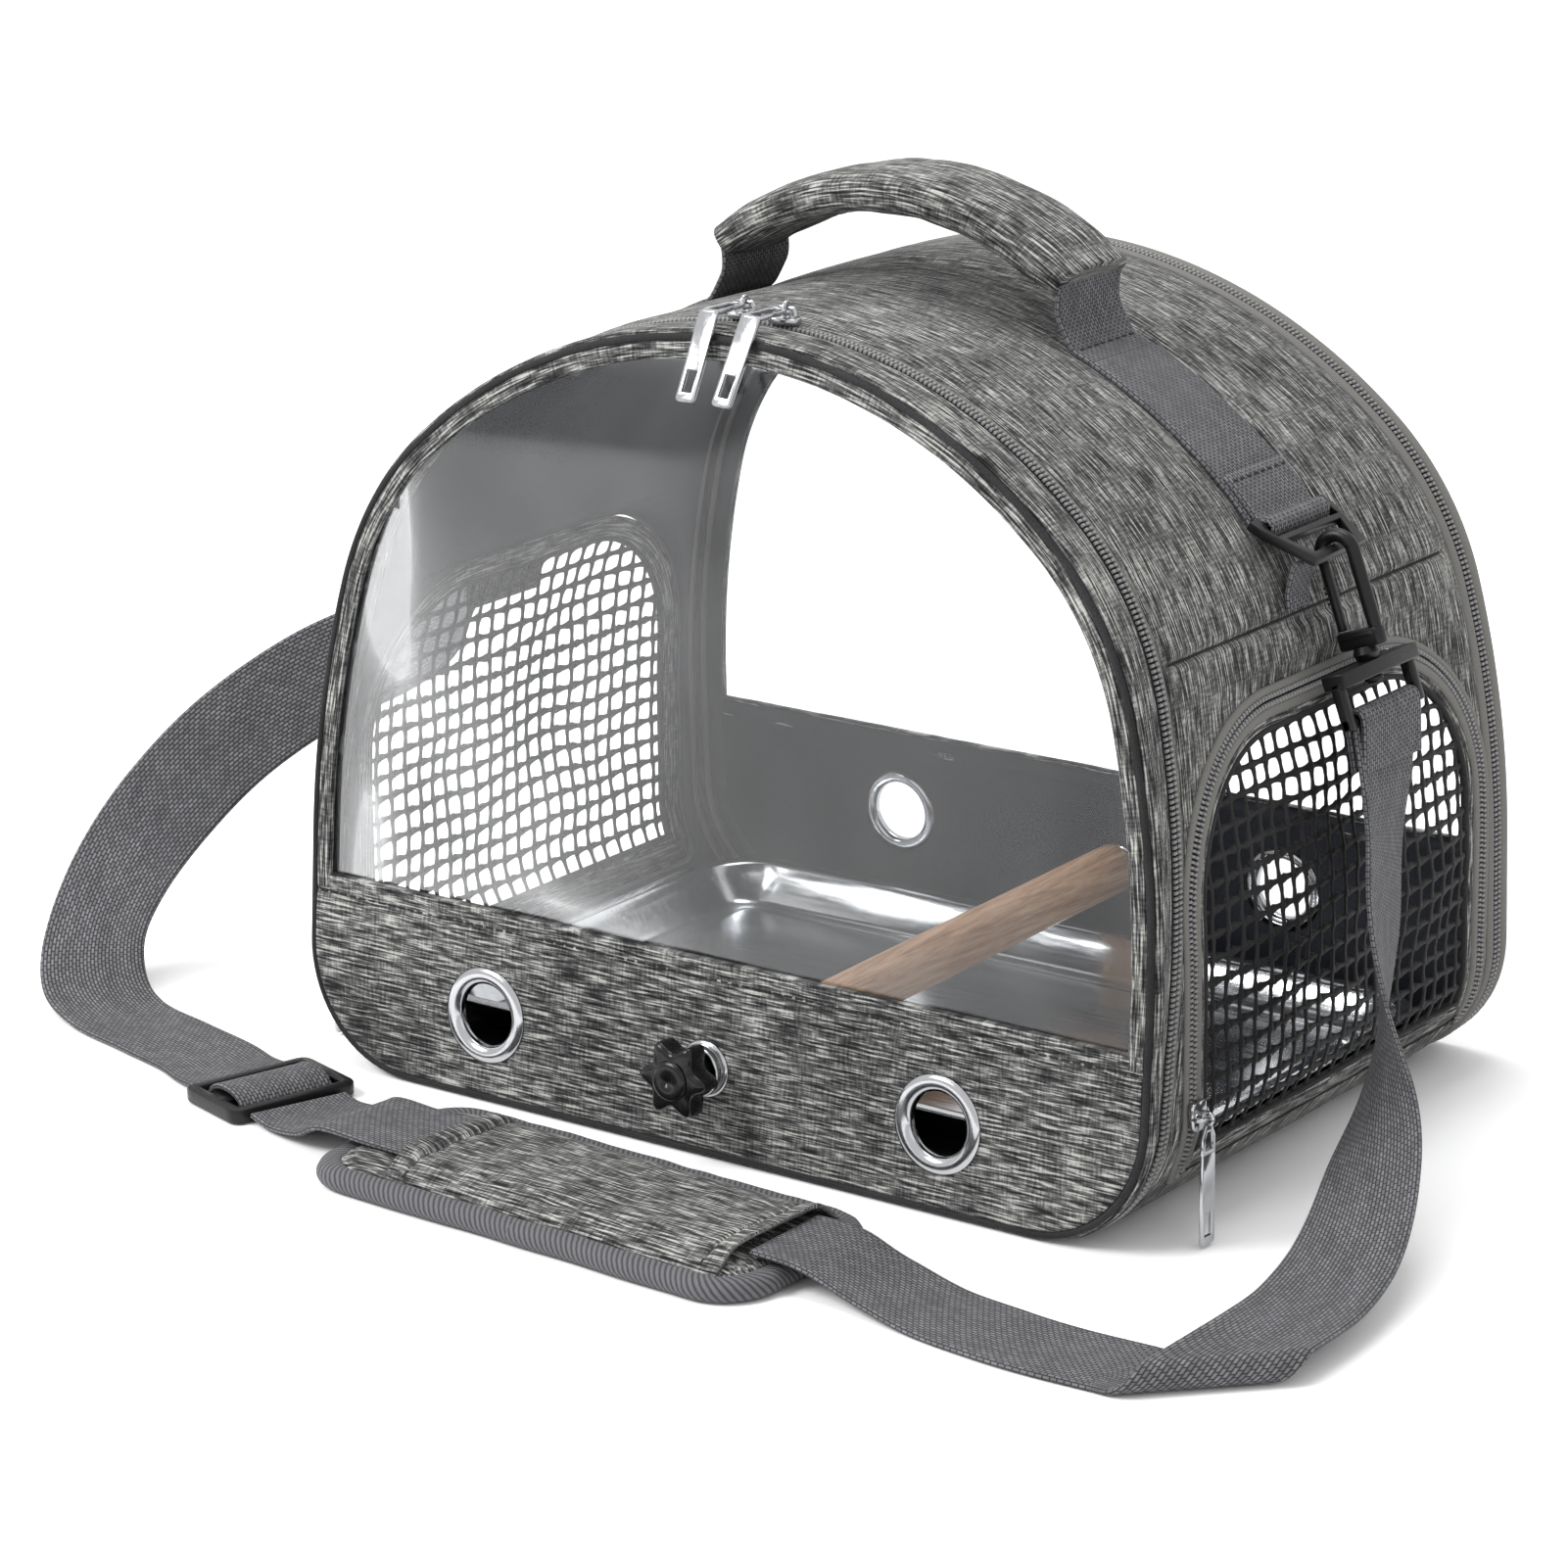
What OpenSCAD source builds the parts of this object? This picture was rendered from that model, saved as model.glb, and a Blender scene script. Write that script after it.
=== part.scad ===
// Bird travel carrier: a D-shaped soft-sided bag with clear zip-open front and rear doors,
// mesh side flaps, a steel tray, a wooden perch with a star knob, a grab handle and a shoulder strap.
// X is the width, the front looks along -Y, Z is up, and the origin is the bottom centre of the bag.

/* [Bag outline] */
// Width of the bag across the sides
bag_w = 350; // [340:1:380]
// Depth of the bag at the floor
bag_d = 243; // [240:1:270]
// Height of the bag
bag_h = 279; // [272:1:290]
// Height where the side walls start to turn inward
side_z = 83; // [80:1:90]
// Radius of the gentle inward turn of the side walls
side_r = 365; // [350:1:400]
// Angle that the gentle turn runs through
side_sweep = 14.6; // [13:0.1:16]
// Radius of the shoulders
shoulder_r = 109.6; // [104:0.2:114]
// Radius of the bottom corners
corner_r = 45; // [42:1:48]
// How far the front face moves back per unit of height
front_tan = 0.07; // [0.06:0.005:0.08]
// How far the rear face moves forward per unit of height
rear_tan = 0.04; // [0.03:0.005:0.05]

/* [Bag walls] */
// Thickness of the padded fabric wall
wall_t = 3; // [2.5:0.1:3.5]
// Thickness of the inner lining
lining_t = 0.9; // [0.8:0.1:1.2]
// Top of the fabric band across the front door
front_band_h = 68.9; // [66:0.5:72]
// Top of the fabric band across the rear door
rear_band_h = 78.7; // [74:0.5:82]
// Distance of the window edges from the bag outline
window_inset = 9.5; // [9:0.5:12]
// Thickness of the clear window sheet
window_t = 0.9; // [0.6:0.1:0.9]
// Thickness of the stiff board in the base
board_t = 2.8; // [2:0.1:3]

/* [Zips] */
// Depth of the front zip behind the front face at the floor
front_zip_low = 8.6; // [8.6:0.1:9]
// Growth of that depth per unit of height
front_zip_tan = 0.05; // [0.045:0.005:0.055]
// Depth of the rear zip in front of the rear face
rear_zip_in = 11; // [10.5:0.1:11.5]
// Gap between the two halves of a zip
zip_gap = 0.7; // [0.5:0.1:0.8]
// Width of each row of zip teeth
teeth_w = 1.6; // [1.4:0.1:1.8]
// Width of the visible tape beside the front teeth on the body
front_tape_w = 3.8; // [3.5:0.1:4]
// Width of the rolled band in front of the rear teeth
rear_tape_w = 6.8; // [6:0.1:7]

/* [Side flaps] */
// Half width of the arched side opening
flap_half_w = 94; // [90:1:94]
// Top of the arched side opening
flap_top = 166; // [160:1:168]
// Bottom of the arched side opening
flap_bottom = 20; // [19:1:24]
// Radius of the arch shoulders
flap_r = 60; // [55:1:62]
// Radius of the lower corners of the arch
flap_corner_r = 8; // [6:1:10]
// Width of the fabric frame round the net
flap_frame_w = 8.5; // [7:0.5:10]
// Pitch of the openings in the net
net_pitch = 16; // [15:1:20]
// Width of the net's strands
net_bar = 2.4; // [2:0.2:3]

/* [Eyelets and perch] */
// Height of the vent eyelets and the perch on the front band
eyelet_z = 31.4; // [30:0.2:33]
// Distance of the vent eyelets from the centre
eyelet_x = 94.5; // [85:0.5:100]
// Radius of the clear hole in a vent eyelet
eyelet_bore_r = 11; // [10:0.2:12]
// Outer radius of a vent eyelet's flange
eyelet_flange_r = 17; // [16:0.2:18]
// Height of the rear eyelets
rear_eyelet_z = 47; // [45:0.5:50]
// Distance of the rear eyelets from the centre
rear_eyelet_x = 84; // [80:0.5:90]
// Radius of the wooden perch
perch_r = 9.2; // [8.5:0.1:9.3]
// Height of the rear end of the perch
perch_rear_z = 43; // [42:0.5:44]
// Sideways place of the rear end of the perch
perch_rear_x = 14; // [0:1:15]
// Outer radius of the star knob
knob_r = 13.5; // [12:0.5:14]
// How far the star knob stands out of the front face
knob_out = 20; // [19:0.5:22]

/* [Tray] */
// Distance of the tray rim from the sides of the bag
tray_side_gap = 19; // [17:0.5:25]
// Distance of the tray rim from the front and rear of the bag, shared between the two
tray_end_gap = 24.5; // [23.5:0.5:29]
// Height of the tray rim above the floor
tray_rim_z = 21.6; // [20:0.2:22]
// Thickness of the tray sheet
tray_t = 0.8; // [0.6:0.1:1]

/* [Handle and strap] */
// Width of all the webbing
web_w = 38; // [36:1:40]
// Thickness of the webbing
web_t = 2; // [1.6:0.1:2.4]
// Place of the handle and the strap rings from front to rear
handle_y = 8; // [4:1:10]
// Sideways place of the stitching that ends the sewn handle webbing
handle_sew_x = 66; // [62:1:70]
// Top of the padded grip
grip_top = 318; // [314:1:322]
// Half length of the padded grip
grip_half = 66; // [60:1:70]
// Thickness of the padded grip
grip_t = 15; // [13:0.5:17]
// Width of the padded grip
grip_w = 44; // [42:1:46]
// How far the grip's ends hang below its middle
grip_drop = 22; // [20:0.5:24]
// Lean of the snap hooks away from the vertical
hook_lean = 20; // [18:1:22]
// Radius of the hook's round section
hook_r = 2.4; // [2:0.1:2.6]
// Centreline radius of the hook's bend
hook_bend_r = 6.2; // [6:0.1:6.5]
// Length of the shoulder pad
pad_l = 190; // [180:1:195]
// Width of the shoulder pad
pad_w = 78; // [72:1:80]
// Thickness of the shoulder pad
pad_t = 9; // [8:0.5:10]

/* [Hidden] */

$fn = 48;
half_w = bag_w / 2;
half_d = bag_d / 2;
front_lean = atan(front_tan);
rear_lean = atan(rear_tan);
gap = 0.1;          // between parts that lie against each other
cut_low = -20;      // span of the tall cutting shapes
cut_high = 320;
reach = 500;        // longer than the bag in every direction

// Cloth colours
heather = "#5f6062";
smooth_cloth = "#7b7975";
teeth_grey = "#4a4a4c";
webbing_grey = "#6f6f72";
dark_lining = "#2b2e38";
black = "#151517";
chrome = "#c9ccd0";

// ---- Outline of the bag across X and Z -------------------------------------------------------
side_c = [half_w - side_r, side_z];
shoulder_c = side_c + (side_r - shoulder_r) * [cos(side_sweep), sin(side_sweep)];
crown_t = (bag_h - shoulder_c[1] - shoulder_r) / shoulder_c[0];
crown_a = 90 - 2 * atan(crown_t);
crown_r = shoulder_r + shoulder_c[0] / cos(crown_a);
crown_c = [0, bag_h - crown_r];

function arc(c, r, a0, a1, n) =
    [for (i = [0 : n]) c + r * [cos(a0 + (a1 - a0) * i / n), sin(a0 + (a1 - a0) * i / n)]];

function right_half(inset) = concat(
    arc([half_w - corner_r, corner_r], corner_r - inset, -90, 0, 6),
    arc(side_c, side_r - inset, 0, side_sweep, 4),
    arc(shoulder_c, shoulder_r - inset, side_sweep + 4, crown_a, 6),
    arc(crown_c, crown_r - inset, crown_a + 4, 90, 5));

function mirrored(h) = concat(h, [for (i = [len(h) - 2 : -1 : 0]) [-h[i][0], h[i][1]]]);

function outline(inset) = mirrored(right_half(inset));

// Half width of the bag at a height on the shoulder arc
function shoulder_x(z) = shoulder_c[0] + sqrt(pow(shoulder_r, 2) - pow(z - shoulder_c[1], 2));

module bag_prism(inset) {
    rotate([90, 0, 0]) linear_extrude(reach, center = true) polygon(outline(inset));
}

module bag_ring(outer, inner) {
    rotate([90, 0, 0]) linear_extrude(reach, center = true) difference() {
        polygon(outline(outer));
        polygon(outline(inner));
    }
}

// Everything between two lines y(z) and above a height, as a bar across the whole width
module bar_between(low_a, high_a, low_b, high_b, z0, z1) {
    rotate([90, 0, 90]) linear_extrude(reach, center = true)
        polygon([[low_a, z0], [low_b, z0], [high_b, z1], [high_a, z1]]);
}

function front_y(depth, z) = front_tan * z + depth - half_d;
function rear_y(depth, z) = half_d - rear_tan * z - depth;
function zip_depth(z) = front_zip_low + front_zip_tan * z;

// Slices parallel to the front face, to the front zip and to the rear face
module front_slice(d0, d1, z0 = cut_low, z1 = cut_high)
    bar_between(front_y(d0, z0), front_y(d0, z1), front_y(d1, z0), front_y(d1, z1), z0, z1);
module front_to_zip(d0, past, z0)
    bar_between(front_y(d0, z0), front_y(d0, cut_high), front_y(zip_depth(z0) + past, z0),
        front_y(zip_depth(cut_high) + past, cut_high), z0, cut_high);
module zip_slice(p0, p1, z0)
    bar_between(front_y(zip_depth(z0) + p0, z0), front_y(zip_depth(cut_high) + p0, cut_high),
        front_y(zip_depth(z0) + p1, z0), front_y(zip_depth(cut_high) + p1, cut_high), z0, cut_high);
module rear_slice(d0, d1, z0 = cut_low, z1 = cut_high)
    bar_between(rear_y(d1, z0), rear_y(d1, z1), rear_y(d0, z0), rear_y(d0, z1), z0, z1);
module body_slice(z0)
    bar_between(front_y(zip_depth(z0) + body_start, z0), front_y(zip_depth(cut_high) + body_start, cut_high),
        rear_y(rear_body_in, z0), rear_y(rear_body_in, cut_high), z0, cut_high);

half_gap = zip_gap / 2;
body_start = half_gap + front_tape_w;
rear_body_in = rear_zip_in + half_gap + rear_tape_w;
door_back = 5.2;                      // depth of a door's inner face
floor_start = door_back + 0.5;        // depth where the fixed floor begins
door_foot = wall_t + 0.3;             // lowest point of the door parts above the fixed floor
edge_in = 0.3;                        // inset of the piping's outer side
piping_w = 4.2;

// Places on the leaning faces, with local Z pointing out of the bag
module on_front(x, z) translate([x, front_y(0, z), z]) rotate([90 - front_lean, 0, 0]) children();
module on_rear(x, z) translate([x, rear_y(0, z), z]) rotate([rear_lean - 90, 0, 0]) children();
function front_out(depth) = -depth * cos(front_lean);
function rear_out(depth) = -depth * cos(rear_lean);

module tube(r_out, r_in, z0, z1) {
    translate([0, 0, z0]) difference() {
        cylinder(r = r_out, h = z1 - z0);
        translate([0, 0, -1]) cylinder(r = r_in, h = z1 - z0 + 2);
    }
}

// ---- Arched side flaps ----------------------------------------------------------------------
function arch(inset) = let (w = flap_half_w - inset, b = flap_bottom + inset, c = max(flap_corner_r - inset, 1))
    mirrored(concat(arc([w - c, b + c], c, -90, 0, 3),
        arc([flap_half_w - flap_r, flap_top - flap_r], flap_r - inset, 0, 90, 10)));

module arch_bar(inset, side) {
    translate([side * half_w, 1, 0]) rotate([90, 0, 90])
        linear_extrude(120, center = true) polygon(arch(inset));
}

module arch_frame(outer, inner, side) {
    translate([side * half_w, 1, 0]) rotate([90, 0, 90]) linear_extrude(120, center = true) difference() {
        polygon(arch(outer));
        polygon(arch(inner));
    }
}

// ---- Body ------------------------------------------------------------------------------------
module body_shell() {
    color(heather) difference() {
        union() {
            intersection() {
                bag_ring(0, wall_t);
                body_slice(cut_low);
            }
            intersection() {
                bag_ring(0, wall_t);
                bar_between(front_y(floor_start, 0), front_y(floor_start, wall_t),
                    rear_y(floor_start, 0), rear_y(floor_start, wall_t), 0, wall_t);
            }
        }
        for (side = [-1, 1]) arch_bar(-half_gap, side);
    }
}

lining_in = wall_t + gap;

module body_lining() {
    color(dark_lining) difference() {
        intersection() {
            bag_ring(lining_in, lining_in + lining_t);
            body_slice(cut_low);
        }
        for (side = [-1, 1]) arch_bar(-half_gap, side);
    }
}

board_in = lining_in + lining_t + gap;
board_front = zip_depth(0) + 2;
board_rear = rear_zip_in + 1.5;

module base_board() {
    color(dark_lining) intersection() {
        bag_prism(board_in);
        bar_between(front_y(board_front, 0), front_y(board_front, board_in + board_t),
            rear_y(board_rear, 0), rear_y(board_rear, board_in + board_t), board_in, board_in + board_t);
    }
}

tape_out = 0.5;      // inset of a zip tape's outer side
tape_in = 2.2;       // inset of its inner side
teeth_out = -0.5;    // the teeth stand a little proud of the cloth

module front_zip_track() {
    color(smooth_cloth) union() {
        intersection() {
            bag_ring(tape_out, tape_in);
            zip_slice(half_gap, body_start - gap, door_foot);
        }
        intersection() {
            bag_ring(teeth_out, tape_out);
            zip_slice(half_gap, half_gap + teeth_w, door_foot);
        }
    }
}

module rear_zip_track() {
    color(smooth_cloth) union() {
        intersection() {
            bag_ring(tape_out, tape_in);
            rear_slice(rear_zip_in + half_gap, rear_body_in - gap, door_foot);
        }
        intersection() {
            bag_ring(teeth_out, tape_out);
            rear_slice(rear_zip_in + half_gap, rear_zip_in + half_gap + teeth_w, door_foot);
        }
        intersection() {
            bag_ring(teeth_out, tape_out);
            rear_slice(rear_zip_in + half_gap + teeth_w + 0.4, rear_body_in - gap, door_foot);
        }
    }
}

side_tape_w = 3.4;
side_tape_out = -1.1;    // the side tape lies on the wall and stands proud of it

module side_zip_tracks() {
    color(smooth_cloth) for (side = [-1, 1]) intersection() {
        bag_ring(side_tape_out, -gap / 2);
        arch_frame(-half_gap - side_tape_w, -half_gap, side);
        translate([0, 0, flap_bottom + 0.5]) linear_extrude(reach) square(reach, center = true);
    }
}

// ---- Doors in the front and the rear -----------------------------------------------------------
back_t = 1.1;       // thickness of the door's inner flange
back_start = door_back - back_t;
face_d = 1;         // depth of a door's outer cloth face
face_t = 2;
column_in = edge_in + piping_w + 0.1;
column_w = 2;
window_edge = column_in + column_w + gap;
band_overlap = 8;

module door_slice(front, d0, d1, z0 = cut_low, z1 = cut_high) {
    if (front) front_slice(d0, d1, z0, z1);
    else rear_slice(d0, d1, z0, z1);
}

module door_rim(front, band_h) {
    union() {
        intersection() {
            bag_ring(edge_in, window_inset);
            door_slice(front, back_start, door_back, edge_in);
        }
        intersection() {
            bag_ring(column_in, column_in + column_w);
            door_slice(front, face_d + face_t, back_start + 0.05, 0);
        }
        intersection() {
            bag_ring(column_in, window_inset);
            door_slice(front, face_d, face_d + face_t + 0.05, band_h + gap);
        }
        intersection() {
            bag_ring(edge_in, wall_t);
            if (front) front_to_zip(back_start, -half_gap - gap - teeth_w - 1.2, door_foot);
            else rear_slice(back_start, rear_zip_in - half_gap - teeth_w - gap - 1.2, door_foot);
        }
    }
}

module front_door_rim() color(heather) door_rim(true, front_band_h);
module rear_door_rim() color(heather) door_rim(false, rear_band_h);

module zip_half(front) {
    union() {
        intersection() {
            bag_ring(tape_out, tape_in);
            if (front) zip_slice(-half_gap - teeth_w - 1.2, -half_gap, door_foot);
            else rear_slice(rear_zip_in - half_gap - teeth_w - 1.2, rear_zip_in - half_gap, door_foot);
        }
        intersection() {
            bag_ring(teeth_out, tape_out);
            if (front) zip_slice(-half_gap - teeth_w, -half_gap, door_foot);
            else rear_slice(rear_zip_in - half_gap - teeth_w, rear_zip_in - half_gap, door_foot);
        }
    }
}

module front_zip_half() color(teeth_grey) zip_half(true);
module rear_zip_half() color(teeth_grey) zip_half(false);

module door_band(front, band_h) {
    union() {
        intersection() {
            bag_prism(column_in);
            door_slice(front, face_d, face_d + face_t - gap, 0, band_h);
        }
        intersection() {
            bag_prism(window_edge);
            door_slice(front, face_d + face_t - gap - 0.05, back_start - gap, 0, band_h - band_overlap);
        }
    }
}

module band_holes(r_vent, x_vent, z_vent, front) {
    for (x = [-x_vent, x_vent])
        if (front) on_front(x, z_vent) cylinder(r = r_vent, h = 30, center = true);
        else on_rear(x, z_vent) cylinder(r = r_vent, h = 30, center = true);
}

barrel_t = 1;           // wall of an eyelet's barrel
barrel_gap = 0.2;
hole_r = eyelet_bore_r + barrel_t + barrel_gap;
screw_hole_r = 5.8;

module front_band() {
    color(heather) difference() {
        door_band(true, front_band_h);
        band_holes(hole_r, eyelet_x, eyelet_z, true);
        on_front(0, eyelet_z) cylinder(r = screw_hole_r, h = 30, center = true);
    }
}

module rear_band() {
    color(heather) difference() {
        door_band(false, rear_band_h);
        band_holes(hole_r, rear_eyelet_x, rear_eyelet_z, false);
        on_rear(perch_rear_x, perch_rear_z) cylinder(r = screw_hole_r, h = 30, center = true);
    }
}

module door_window(front, band_h) {
    intersection() {
        bag_prism(window_edge);
        door_slice(front, face_d + face_t + gap, face_d + face_t + gap + window_t, band_h - band_overlap + gap);
    }
}

module front_window() color([0.85, 0.9, 0.95, 0.35]) door_window(true, front_band_h);
module rear_window() color([0.85, 0.9, 0.95, 0.35]) door_window(false, rear_band_h);

// A cord sewn round the edge of a door, eight-sided in effect from two crossed rings
module door_piping(front) {
    step = piping_w / 4;
    union() {
        intersection() {
            bag_ring(edge_in, edge_in + piping_w);
            door_slice(front, step, back_start - gap);
        }
        intersection() {
            bag_ring(edge_in + step, edge_in + piping_w - step);
            door_slice(front, 0, step + 0.05);
        }
    }
}

module front_piping() color(black) door_piping(true);
module rear_piping() color(black) door_piping(false);

flange_t = 1.5;
washer_t = 1;

module vent_eyelet(out_face, out_back) {
    tube(eyelet_bore_r + barrel_t, eyelet_bore_r, out_back, out_face + flange_t);
    tube(eyelet_flange_r, eyelet_bore_r, out_face + 0.02, out_face + flange_t);
    tube(eyelet_flange_r - 1, eyelet_bore_r, out_back - washer_t, out_back - 0.02);
    tube(eyelet_bore_r + barrel_t, eyelet_bore_r, out_back - washer_t, out_back + 0.5);
}

module vent_eyelets() {
    color(chrome) for (x = [-eyelet_x, eyelet_x])
        on_front(x, eyelet_z) vent_eyelet(front_out(face_d), front_out(back_start - gap));
}

module rear_eyelets() {
    color(chrome) for (x = [-rear_eyelet_x, rear_eyelet_x])
        on_rear(x, rear_eyelet_z) vent_eyelet(rear_out(face_d), rear_out(back_start - gap));
}

// ---- Perch and star knob ------------------------------------------------------------------------
stem_r = 3;
stem_gap = 0.3;
plate_r = 10;

module perch_eyelet() {
    face = front_out(face_d);
    back = front_out(back_start - gap);
    color(chrome) on_front(0, eyelet_z) union() {
        tube(screw_hole_r - barrel_gap, stem_r + stem_gap, back - washer_t, face + 1.2);
        tube(plate_r, stem_r + stem_gap, face + 0.02, face + 1.2);
        tube(plate_r - 1, stem_r + stem_gap, back - washer_t, back - 0.02);
    }
}

cup_start = front_out(face_d) + 1.25;
cup_h = 4.2;

module perch_cup() {
    color(chrome) on_front(0, eyelet_z) difference() {
        translate([0, 0, cup_start]) cylinder(r = 9, h = cup_h);
        translate([0, 0, cup_start - 1]) cylinder(r = stem_r + stem_gap, h = cup_h + 2);
        translate([0, 0, cup_start + 1.5]) cylinder(r = 7.8, h = cup_h);
    }
}

knob_start = cup_start + 2;
lobe_r = 4.4;

module star_knob() {
    color(black) on_front(0, eyelet_z) union() {
        translate([0, 0, -20]) cylinder(r = stem_r, h = 20 + knob_start + 1);
        translate([0, 0, knob_start]) cylinder(r = 6.5, h = 8);
        translate([0, 0, knob_out - 10.5]) cylinder(r = knob_r - lobe_r, h = 8.5);
        translate([0, 0, knob_out - 3]) cylinder(r = 7, h = 3);
        for (a = [30 : 60 : 330]) rotate([0, 0, a]) translate([knob_r - lobe_r, 0, knob_out - 11])
            cylinder(r = lobe_r, h = 9.5);
    }
}

perch_front_in = back_start - gap + washer_t / cos(front_lean) + 0.3;
perch_rear_in = perch_front_in + 0.4;
perch_y0 = front_y(perch_front_in, eyelet_z);
perch_y1 = rear_y(perch_rear_in, perch_rear_z);
perch_run = perch_y1 - perch_y0;
perch_yaw = atan(perch_rear_x / perch_run);
perch_rise = atan((perch_rear_z - eyelet_z) / norm([perch_rear_x, perch_run]));

module perch() {
    color("#c49a6c") difference() {
        intersection() {
            translate([0, perch_y0, eyelet_z]) rotate([0, 0, -perch_yaw]) rotate([perch_rise - 90, 0, 0])
                translate([0, 0, -20]) cylinder(r = perch_r, h = perch_run + 50);
            bar_between(front_y(perch_front_in, 0), front_y(perch_front_in, 80),
                rear_y(perch_rear_in, 0), rear_y(perch_rear_in, 80), 0, 80);
        }
        on_front(0, eyelet_z) translate([0, 0, -26]) cylinder(r = stem_r + stem_gap, h = 26);
    }
}

module rear_perch_plate() {
    face = rear_out(face_d);
    back = rear_out(back_start - gap);
    color(chrome) on_rear(perch_rear_x, perch_rear_z) union() {
        tube(screw_hole_r - barrel_gap, stem_r + stem_gap, back - washer_t, face + 1.2);
        tube(plate_r, stem_r + stem_gap, face + 0.02, face + 1.2);
        tube(plate_r - 1, stem_r + stem_gap, back - washer_t, back - 0.02);
    }
}

// ---- Side flaps --------------------------------------------------------------------------------
flap_t_in = 2.2;

module flap_frame(side) {
    color(heather) union() {
        intersection() {
            bag_ring(0, flap_t_in);
            arch_frame(half_gap, flap_frame_w, side);
        }
        intersection() {
            bag_ring(side_tape_out, 0.1);
            arch_frame(half_gap, half_gap + side_tape_w, side);
            translate([0, 0, flap_bottom + 0.5]) linear_extrude(reach) square(reach, center = true);
        }
    }
}

module right_flap_frame() flap_frame(1);
module left_flap_frame() flap_frame(-1);

net_half = flap_half_w - flap_frame_w;

module flap_net(side) {
    color(black) intersection() {
        bag_ring(0.6, 1.6);
        translate([side * half_w, 1, 0]) rotate([90, 0, 90]) linear_extrude(120, center = true)
        intersection() {
            polygon(arch(flap_frame_w + gap / 2));
            union() {
                difference() {
                    polygon(arch(flap_frame_w + gap / 2));
                    polygon(arch(flap_frame_w + net_bar));
                }
                for (y = [net_pitch / 2 : net_pitch : net_half], s = [-1, 1])
                    translate([s * y - net_bar / 2, flap_bottom]) square([net_bar, flap_top - flap_bottom]);
                for (z = [flap_bottom + flap_frame_w + net_pitch : net_pitch : flap_top - flap_frame_w])
                    translate([-net_half, z - net_bar / 2]) square([2 * net_half, net_bar]);
            }
        }
    }
}

module right_flap_net() flap_net(1);
module left_flap_net() flap_net(-1);

// ---- Tray ------------------------------------------------------------------------------------
tray_w = bag_w - 2 * tray_side_gap;
tray_d = bag_d - 2 * tray_end_gap;
tray_y = 9;
tray_r = 28;
tray_floor_z = board_in + board_t + 0.3;
tray_slope = 10;
rim_w = 5;

module rounded_plate(w, d, r, h) {
    linear_extrude(h) union() {
        square([w - 2 * r, d], center = true);
        square([w, d - 2 * r], center = true);
        for (x = [-1, 1], y = [-1, 1]) translate([x * (w / 2 - r), y * (d / 2 - r)]) circle(r);
    }
}

// Solid with sloping sides from the tray floor to the rim, shrunk by a wall thickness
module tray_bowl(shrink, z0, z1) {
    hull() {
        translate([0, tray_y, z0]) rounded_plate(tray_w - 2 * (rim_w + tray_slope + shrink),
            tray_d - 2 * (rim_w + tray_slope + shrink), tray_r - rim_w - shrink, 0.1, $fn = 32);
        translate([0, tray_y, z1 - 0.1]) rounded_plate(tray_w - 2 * (rim_w + shrink),
            tray_d - 2 * (rim_w + shrink), tray_r - rim_w - shrink, 0.1, $fn = 32);
    }
}

module tray() {
    color("#a9adb1") difference() {
        union() {
            translate([0, tray_y, tray_rim_z - tray_t]) rounded_plate(tray_w, tray_d, tray_r, tray_t, $fn = 32);
            tray_bowl(0, tray_floor_z, tray_rim_z);
        }
        tray_bowl(tray_t, tray_floor_z + tray_t, tray_rim_z + 1);
    }
}

// ---- Handle ----------------------------------------------------------------------------------
// Webbing that follows the top of the bag on its outside, from one X to another
function top_line(x0, x1, off, n) = [for (i = [0 : n]) let (x = x0 + (x1 - x0) * i / n)
    let (c = abs(x) < crown_r * cos(crown_a) ? crown_c : [sign(x) * shoulder_c[0], shoulder_c[1]],
         r = abs(x) < crown_r * cos(crown_a) ? crown_r : shoulder_r)
    c + [x - c[0], sqrt(pow(r, 2) - pow(x - c[0], 2))] * (r + off) / r];

anchor_end_x = 146;
anchor_lift = 0.8;

module across_strap(points_low, points_high) {
    translate([0, handle_y + web_w / 2, 0]) rotate([90, 0, 0]) linear_extrude(web_w)
        polygon(concat(points_low, [for (i = [len(points_high) - 1 : -1 : 0]) points_high[i]]));
}

module handle_anchor_straps() {
    color(webbing_grey) for (side = [-1, 1]) across_strap(
        top_line(side * handle_sew_x, side * anchor_end_x, anchor_lift, 12),
        top_line(side * handle_sew_x, side * anchor_end_x, anchor_lift + web_t, 12));
}

grip_edge = 4;          // how much narrower the grip is at its top and bottom
grip_roll = 3;

// Padded sleeve of the handle: an arched bar with rounded section
grip_end_a = atan(2 * grip_drop / grip_half);
function grip_line(off) = [for (a = [-1 : 0.1 : 1.01]) let (s = max(-1, min(1, a)))
    [s * grip_half + sin(s * grip_end_a) * off, grip_top - grip_t + off - grip_drop * s * s]];

module grip_slab(w, in) {
    translate([0, handle_y + w / 2, 0]) rotate([90, 0, 0]) linear_extrude(w)
        polygon(concat(grip_line(in), [for (p = [20 : -1 : 0]) grip_line(grip_t - in)[p]]));
}

module handle_grip() {
    color(heather) union() {
        grip_slab(grip_w - 2 * grip_edge, 0);
        grip_slab(grip_w, grip_roll);
    }
}

grip_mid = grip_line(grip_t / 2);
sew_point = top_line(handle_sew_x, anchor_end_x, anchor_lift + web_t / 2, 12)[0];

module handle_webbing() {
    color(webbing_grey) for (side = [-1, 1]) {
        a = [side * (sew_point[0] + 1), sew_point[1] + web_t / 2 + 0.35];
        b = [side * (grip_mid[20][0] + 0.6), grip_mid[20][1] - 1];
        across = web_t / 2 * [1, 0];
        across_strap([a - across * 1.4, b - across], [a + across * 1.4, b + across]);
    }
}

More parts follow.
